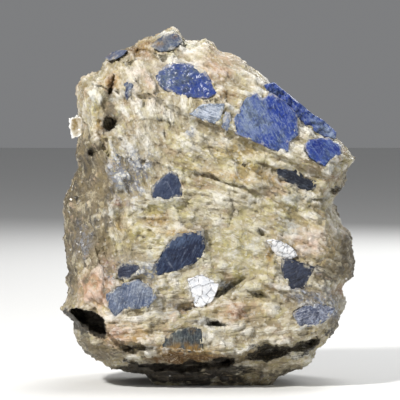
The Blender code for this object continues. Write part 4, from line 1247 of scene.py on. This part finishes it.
def feldspar_material():
    """The block: cream to straw feldspar, stained and veined, mica schist where its share is high, painted shade in
    its hollows, cracks, grooves and low places, and painted highlights and glints.
    """
    stone = Finish("feldspar", CREAM)
    fibre = fibres_of(stone)
    broad, tint = stone.noise(110.0, 4.0), stone.noise(173.0)
    middle, fine = stone.noise(420.0, 4.0, 0.65), stone.noise(1500.0, 3.0, 0.7)
    streak, layer, low, dark, blue = (stone.value(name) for name in ("streak", "layer", "low", "dark", "blue"))
    grained = stone.group(GRAIN_GROUP, Grain=1500.0)
    bright = grained["Bright"]
    stone.lay(ROSY, tint.between(0.52, 0.66))
    stone.lay(COOL, broad.between(0.52, 0.66))
    stone.lay(WHITE, layer.between(0.50, 0.78))
    stone.lay(WHITE, fibre.between(0.55, 0.68) * 0.6)
    stone.lay(STRAW, middle.between(0.42, 0.62) * streak.between(0.30, 0.62) * 0.75)
    stone.lay(WHITE, (stone.value("white") * 0.65).clamped())
    straw = (stone.value("straw") * middle.between(0.30, 0.58)).clamped()
    stone.lay(STRAW, straw * 0.95)
    stone.lay(OLIVE_STONE, straw * fine.between(0.50, 0.66) * 0.45)
    stone.lay(PEACH, (stone.value("pink") * 0.8).clamped())
    stone.lay(OCHRE, (stone.value("ochre") * middle.between(0.34, 0.54)).clamped() * 0.9)
    stone.lay(RUST, (stone.value("rust") * fine.between(0.30, 0.60)).clamped())
    grey_share = stone.value("schist").between(0.20, 0.65)
    pale_share = 1.0 - grey_share
    stone.lay(schist_colour(stone, streak, layer, fibre, broad, tint, middle, fine), grey_share)
    stone.lay(STEEL_BLUE, (blue * fine.between(0.38, 0.54)).clamped())
    # Silver specks in the bluish patches, painted as glints on the bright grains.
    stone.lay(SILVER, (blue * bright * 0.6).clamped())
    # Painted shade in the low places of the fine relief, and a painted highlight on the raised ones.
    stone.lay(SHADE_AND_SPECK_BROWN, low * 0.74)
    raised_highlight = 1.0 - low.between(0.02, 0.35)
    stone.lay(WHITE, raised_highlight * pale_share * 0.34)
    # Whiter cleavage grains, painted brighter as glints.
    stone.lay(WHITE, bright * pale_share * 0.35)
    stone.lay(BRONZE, (stone.value("bronze") * fine.between(0.34, 0.52)).clamped())
    # Painted shade in the grooves between the fine fibres of the bump, then dark brown specks.
    stone.lay(SHADE_AND_SPECK_BROWN, (1.0 - fibre.between(0.30, 0.44)) * 0.60)
    stone.lay(SHADE_AND_SPECK_BROWN, (1.0 - fine.between(0.30, 0.40)) * 0.45)
    stone.lay(HAIRLINE_BROWN, stone.group(HAIRLINES, Cells=150.0, Width=0.03)["Line"] * 0.42)
    # Painted shade along each crystal's edge.
    stone.lay(SEAM_SHADE_BROWN, (stone.value("seam_shade") * 0.18).clamped())
    # Painted shade: near-black where the dark value is high, in the hollows, holes, cracks and under the shelves.
    ragged = dark + (fine - 0.5) * 0.9 + (0.5 - fibre) * 1.2
    shadowed = mixed(fibre.between(0.46, 0.60), SHADE_DEEP, SHADE_LIGHT)
    stone.lay(shadowed, ragged.between(0.22, 0.78) * 0.93)
    relief = fibre * (pale_share * 1.4 + 0.8) + grained["Height"]
    return stone.finished(0.64 - bright * 0.34, relief, 0.8, 0.00035, Specular_IOR_Level=0.5)


def sapphire_material(name, body, deep, pale, frost, roughness):
    """A blue crystal: body colour, its deep and pale zones, veins, rust in the cracks, frosty speckle and painted
    glints.
    """
    crystal = Finish(name, body)
    turn = (0.0, -np.radians(CRYSTAL_RELIEF[name][3]), 0.0)
    fibre = crystal.group(DRAWN_GRAIN, Turn=turn, Size=(0.0016, 0.0005, 0.00030))["Height"]
    fine, middle = crystal.noise(1900.0, 3.0, 0.7), crystal.noise(500.0, 4.0, 0.65)
    broad = crystal.noise(150.0, 3.0, 0.55)
    streak = crystal.value("streak")
    grained = crystal.group(GRAIN_GROUP, Grain=1900.0)
    lines = crystal.group(HAIRLINES, Cells=420.0, Width=0.06)["Line"]
    crystal.lay(deep, middle.between(0.38, 0.64))
    crystal.lay(pale, broad.between(0.52, 0.66) * 0.35)
    crystal.lay(deep, (0.8 - broad.between(0.34, 0.48)).clamped())
    crystal.lay(deep, (crystal.value("deep") * 0.85).clamped())
    crystal.lay(pale, (crystal.value("pale") * 0.80).clamped())
    speckle = fine.between(0.52, 0.66) * frost
    crystal.lay(pale, speckle)
    crystal.lay(deep, (0.8 - fine.between(0.32, 0.46)).clamped())
    # Painted glints on the bright grains, fewer on the less frosted crystals.
    crystal.lay(PAINTED_GLINT_BLUE, grained["Bright"] * middle.between(0.46, 0.60) * max(frost - 0.3, 0.05))
    crystal.lay(NIGHT_BLUE, (1.0 - middle.between(0.36, 0.50)) * 0.55)
    crystal.lay(pale, lines * 0.25)
    crystal.lay(pale, fibre.between(0.54, 0.66) * (0.35 + 0.5 * frost))
    crystal.lay(deep, (0.75 - fibre.between(0.34, 0.46)).clamped())
    crystal.lay(pale, streak.between(0.52, 0.82) * 0.25)
    crystal.lay(deep, (0.4 - streak.between(0.18, 0.42)).clamped())
    crystal.lay(VEIN_GREY, crystal.value("vein") * middle.between(0.44, 0.60) * 0.45)
    crystal.lay(STAIN_BROWN, (crystal.value("stain") * middle.between(0.36, 0.58)).clamped())
    crust = laid_over(COOL, [(CREAM, middle.between(0.40, 0.58)), (WHITE, fine.between(0.50, 0.64))])
    crust_share = crystal.value("border") * middle.between(0.44, 0.56) * 0.4
    crystal.lay(crust, crust_share)
    rough = (speckle * 0.25 + roughness + crust_share * 0.25).clamped()
    relief = fibre * 1.6 + grained["Height"] * min(0.10 + 0.9 * frost, 1.0)
    glassy = {"Specular_IOR_Level": 0.22, "Coat_Weight": 0.10, "Coat_Roughness": 0.18}
    return crystal.finished(rough, relief, 0.9, 0.00022, **glassy)


def mica_material():
    """The two bright plates: pearly, crackled with dark lines."""
    plate = Finish("mica", (0.86, 0.86, 0.88))
    fine = plate.noise(900.0)
    plate.lay((0.66, 0.68, 0.72), fine.between(0.40, 0.62))
    plate.lay((0.05, 0.05, 0.055), plate.value("crack") * 0.95)
    relief = plate.group(GRAIN_GROUP, Grain=700.0)["Height"]
    pearly = {"Metallic": 0.25, "Coat_Weight": 0.6, "Coat_Roughness": 0.1}
    return plate.finished(fine * 0.2 + 0.12, relief, 0.2, 0.0001, **pearly)


# Each crystal's colours (body, deep, pale), how frosted it is, and its roughness.
LOOKS = {
    "sapphire_crest": ((0.050, 0.072, 0.125), (0.022, 0.036, 0.095), (0.16, 0.18, 0.19), 0.6, 0.40),
    "sapphire_shoulder": ((0.045, 0.068, 0.15), (0.020, 0.035, 0.10), (0.16, 0.18, 0.22), 0.5, 0.40),
    "sapphire_upper": ((0.028, 0.044, 0.098), (0.006, 0.026, 0.17), (0.075, 0.10, 0.14), 0.40, 0.50),
    "sapphire_silver": ((0.16, 0.20, 0.27), (0.06, 0.085, 0.13), (0.48, 0.52, 0.60), 0.9, 0.30),
    "sapphire_sliver": ((0.11, 0.14, 0.22), (0.045, 0.07, 0.14), (0.34, 0.36, 0.42), 0.6, 0.38),
    "sapphire_large": ((0.066, 0.105, 0.215), (0.010, 0.032, 0.21), (0.20, 0.25, 0.34), 0.48, 0.44),
    "sapphire_right": ((0.024, 0.062, 0.29), (0.005, 0.016, 0.15), (0.16, 0.22, 0.36), 0.45, 0.44),
    "sapphire_dark": ((0.016, 0.021, 0.038), (0.006, 0.008, 0.016), (0.08, 0.095, 0.12), 0.30, 0.42),
    "sapphire_middle": ((0.028, 0.042, 0.085), (0.010, 0.018, 0.050), (0.085, 0.11, 0.17), 0.25, 0.48),
    "sapphire_long": ((0.008, 0.018, 0.054), (0.003, 0.006, 0.026), (0.066, 0.098, 0.17), 0.20, 0.48),
    "sapphire_knot": ((0.024, 0.031, 0.060), (0.008, 0.012, 0.030), (0.11, 0.125, 0.17), 0.35, 0.42),
    "sapphire_pale": ((0.095, 0.125, 0.20), (0.04, 0.058, 0.115), (0.30, 0.33, 0.38), 0.60, 0.44),
    "sapphire_rusty": ((0.030, 0.040, 0.044), (0.011, 0.016, 0.023), (0.13, 0.15, 0.145), 0.45, 0.50),
    "sapphire_low": ((0.006, 0.010, 0.026), (0.003, 0.004, 0.011), (0.048, 0.062, 0.105), 0.22, 0.46),
    "sapphire_corner": ((0.080, 0.095, 0.155), (0.030, 0.040, 0.085), (0.34, 0.36, 0.42), 0.95, 0.42),
    "sapphire_bead": ((0.045, 0.066, 0.13), (0.012, 0.020, 0.06), (0.26, 0.29, 0.34), 0.6, 0.34),
}


def flake_material():
    """The glassy flake: honey brown inside, clear and bright towards its rim."""
    flake = Finish("mica_flake", (0.20, 0.145, 0.06))
    middle = flake.noise(450.0, 4.0)
    flake.lay((0.42, 0.38, 0.30), middle.between(0.40, 0.60))
    flake.lay((0.78, 0.78, 0.76), flake.value("border") * 0.9)
    relief = flake.group(GRAIN_GROUP, Grain=500.0)["Height"]
    return flake.finished(middle * 0.2 + 0.05, relief, 0.3, 0.0002, Coat_Weight=0.5, Coat_Roughness=0.05)


def fleck_material():
    """Bright cleavage of mica, silver to bronze."""
    fleck = Finish("mica_flecks", (0.20, 0.17, 0.12))
    fine = fleck.noise(2600.0)
    fleck.lay((0.62, 0.60, 0.56), fleck.noise(700.0, 2.0, 0.5).between(0.42, 0.58))
    fleck.lay((0.10, 0.085, 0.06), fine.between(0.50, 0.66) * 0.5)
    relief = fleck.group(GRAIN_GROUP, Grain=2200.0)["Height"]
    return fleck.finished(fine * 0.25 + 0.10, relief, 0.3, 0.0001, Metallic=0.35)


def random_vector(tree, seed, low, high):
    drawn = place(tree, "FunctionNodeRandomValue", {"data_type": "FLOAT_VECTOR"}, Seed=seed)
    feed(drawn.node.inputs[0], low)
    feed(drawn.node.inputs[1], high)
    return drawn[0]


def fleck_tree():
    """Six-sided plates strewn over a surface, thickest where its schist value is high."""
    inputs = [
        ("Stone", "Geometry", None), ("Flecks", "Float", 9.0e4), ("Radius", "Float", 0.0004),
        ("Thickness", "Float", 0.0001), ("Lowest", "Float", 0.0015), ("Finish", "Material", None),
    ]
    tree, given, result = new_group("mica flecks", inputs, [("Plates", "Geometry")], "GeometryNodeTree")
    schist = place(tree, "GeometryNodeInputNamedAttribute", {"data_type": "FLOAT"}, Name="schist")["Attribute"]
    where = place(tree, "GeometryNodeInputPosition")["Position"]
    above = place(tree, "ShaderNodeSeparateXYZ", Vector=where)["Z"] > given["Lowest"]
    density = (schist - 0.3).clamped() * above * given["Flecks"]
    strewn = place(tree, "GeometryNodeDistributePointsOnFaces", Mesh=given["Stone"], Density=density, Seed=31)
    size = {"Vertices": 6, "Radius": given["Radius"], "Depth": given["Thickness"]}
    plate = place(tree, "GeometryNodeMeshCylinder", {"fill_type": "NGON"}, **size)["Mesh"]
    lean = random_vector(tree, 32, (-0.6, -0.6, 0.0), (0.6, 0.6, 6.28))
    turned_plate = place(tree, "FunctionNodeRotateRotation", {"rotation_space": "LOCAL"}, Rotation=strewn["Rotation"])
    feed(turned_plate.node.inputs[1], lean)
    wide = random_vector(tree, 33, (0.4, 0.4, 1.0), (1.3, 1.3, 1.0))
    lie = {"Rotation": turned_plate["Rotation"], "Scale": wide}
    laid = place(tree, "GeometryNodeInstanceOnPoints", Points=strewn["Points"], Instance=plate, **lie)
    real = place(tree, "GeometryNodeRealizeInstances", Geometry=laid["Instances"])["Geometry"]
    done = place(tree, "GeometryNodeSetMaterial", Geometry=real, Material=given["Finish"])
    feed(result["Plates"], done["Geometry"])
    return tree


def mica_flecks(block):
    """The glints of the schist: small plates of mica lying in its surface."""
    piece = bpy.data.objects.new("mica_flecks", block.data.copy())
    bpy.context.scene.collection.objects.link(piece)
    tree = fleck_tree()
    strew = piece.modifiers.new("flecks", "NODES")
    strew.node_group = tree
    named = {socket.name: socket.identifier for socket in tree.interface.items_tree if socket.in_out == "INPUT"}
    strew[named["Finish"]] = fleck_material()
    applied(piece, strew)
    return piece


def dress_crystals():
    mica = mica_material()
    finishes = {name: sapphire_material(name, *look) for name, look in LOOKS.items()}
    for name in CRYSTALS:
        piece = crystal_piece(name)
        piece.data.materials.append(finishes.get(name, mica))
        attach(piece, "root")
        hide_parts(name)
    slab = rim_slab()
    slab.data.materials.append(finishes["sapphire_large"])
    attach(slab, "root")
    flake = rim_flake()
    flake.data.materials.append(flake_material())
    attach(flake, "root")
    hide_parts("mica_flake")


def studio():
    """Pale floor and backdrop, soft lights, and the camera level with the middle of the specimen."""
    scene = bpy.context.scene
    world = bpy.data.worlds.new("studio")
    world.use_nodes = True
    world.node_tree.nodes["Background"].inputs["Color"].default_value = (0.80, 0.81, 0.83, 1)
    world.node_tree.nodes["Background"].inputs["Strength"].default_value = 0.26
    scene.world = world
    scene.view_settings.view_transform = "Standard"
    bpy.ops.mesh.primitive_plane_add(size=4.0, location=(0, 0, 0))
    floor = bpy.context.object
    floor.name = "floor"
    pale = bpy.data.materials.new("floor")
    pale.use_nodes = True
    pale.node_tree.nodes["Principled BSDF"].inputs["Base Color"].default_value = (0.72, 0.72, 0.71, 1)
    pale.node_tree.nodes["Principled BSDF"].inputs["Roughness"].default_value = 0.8
    floor.data.materials.append(pale)
    aim = Vector((across(200), 0, height(200))) * MM
    lights = [
        ("key", (-0.28, -0.38, 0.42), 0.06, 4.7, (1.0, 0.98, 0.95)),
        ("fill", (0.45, -0.50, 0.20), 0.40, 0.9, (0.93, 0.96, 1.0)),
        ("top", (0.10, 0.10, 0.60), 0.20, 1.6, (1.0, 1.0, 1.0)),
        ("back", (0.20, 0.55, 0.35), 0.40, 2.2, (1.0, 1.0, 1.0)),
    ]
    for name, spot_at, size, power, tint in lights:
        light = bpy.data.lights.new(name, "AREA")
        light.size = size
        light.energy = power
        light.color = tint
        lamp = bpy.data.objects.new(name, light)
        lamp.location = spot_at
        lamp.rotation_euler = (aim - Vector(spot_at)).to_track_quat("-Z", "Y").to_euler()
        scene.collection.objects.link(lamp)
    camera = bpy.data.cameras.new("camera")
    distance = 0.90
    picture_width = 400 * STEP * MM
    camera.sensor_width = 36
    camera.lens = camera.sensor_width * distance / picture_width
    viewer = bpy.data.objects.new("camera", camera)
    lift = np.radians(2.5)
    viewer.location = aim + Vector((0, -distance * np.cos(lift), distance * np.sin(lift)))
    viewer.rotation_euler = (aim - viewer.location).to_track_quat("-Z", "Y").to_euler()
    scene.collection.objects.link(viewer)
    scene.camera = viewer


studio()
block = stone_block()
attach(block, "root")
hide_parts("matrix")
flecks = mica_flecks(block)
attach(flecks, "root")
dress_crystals()
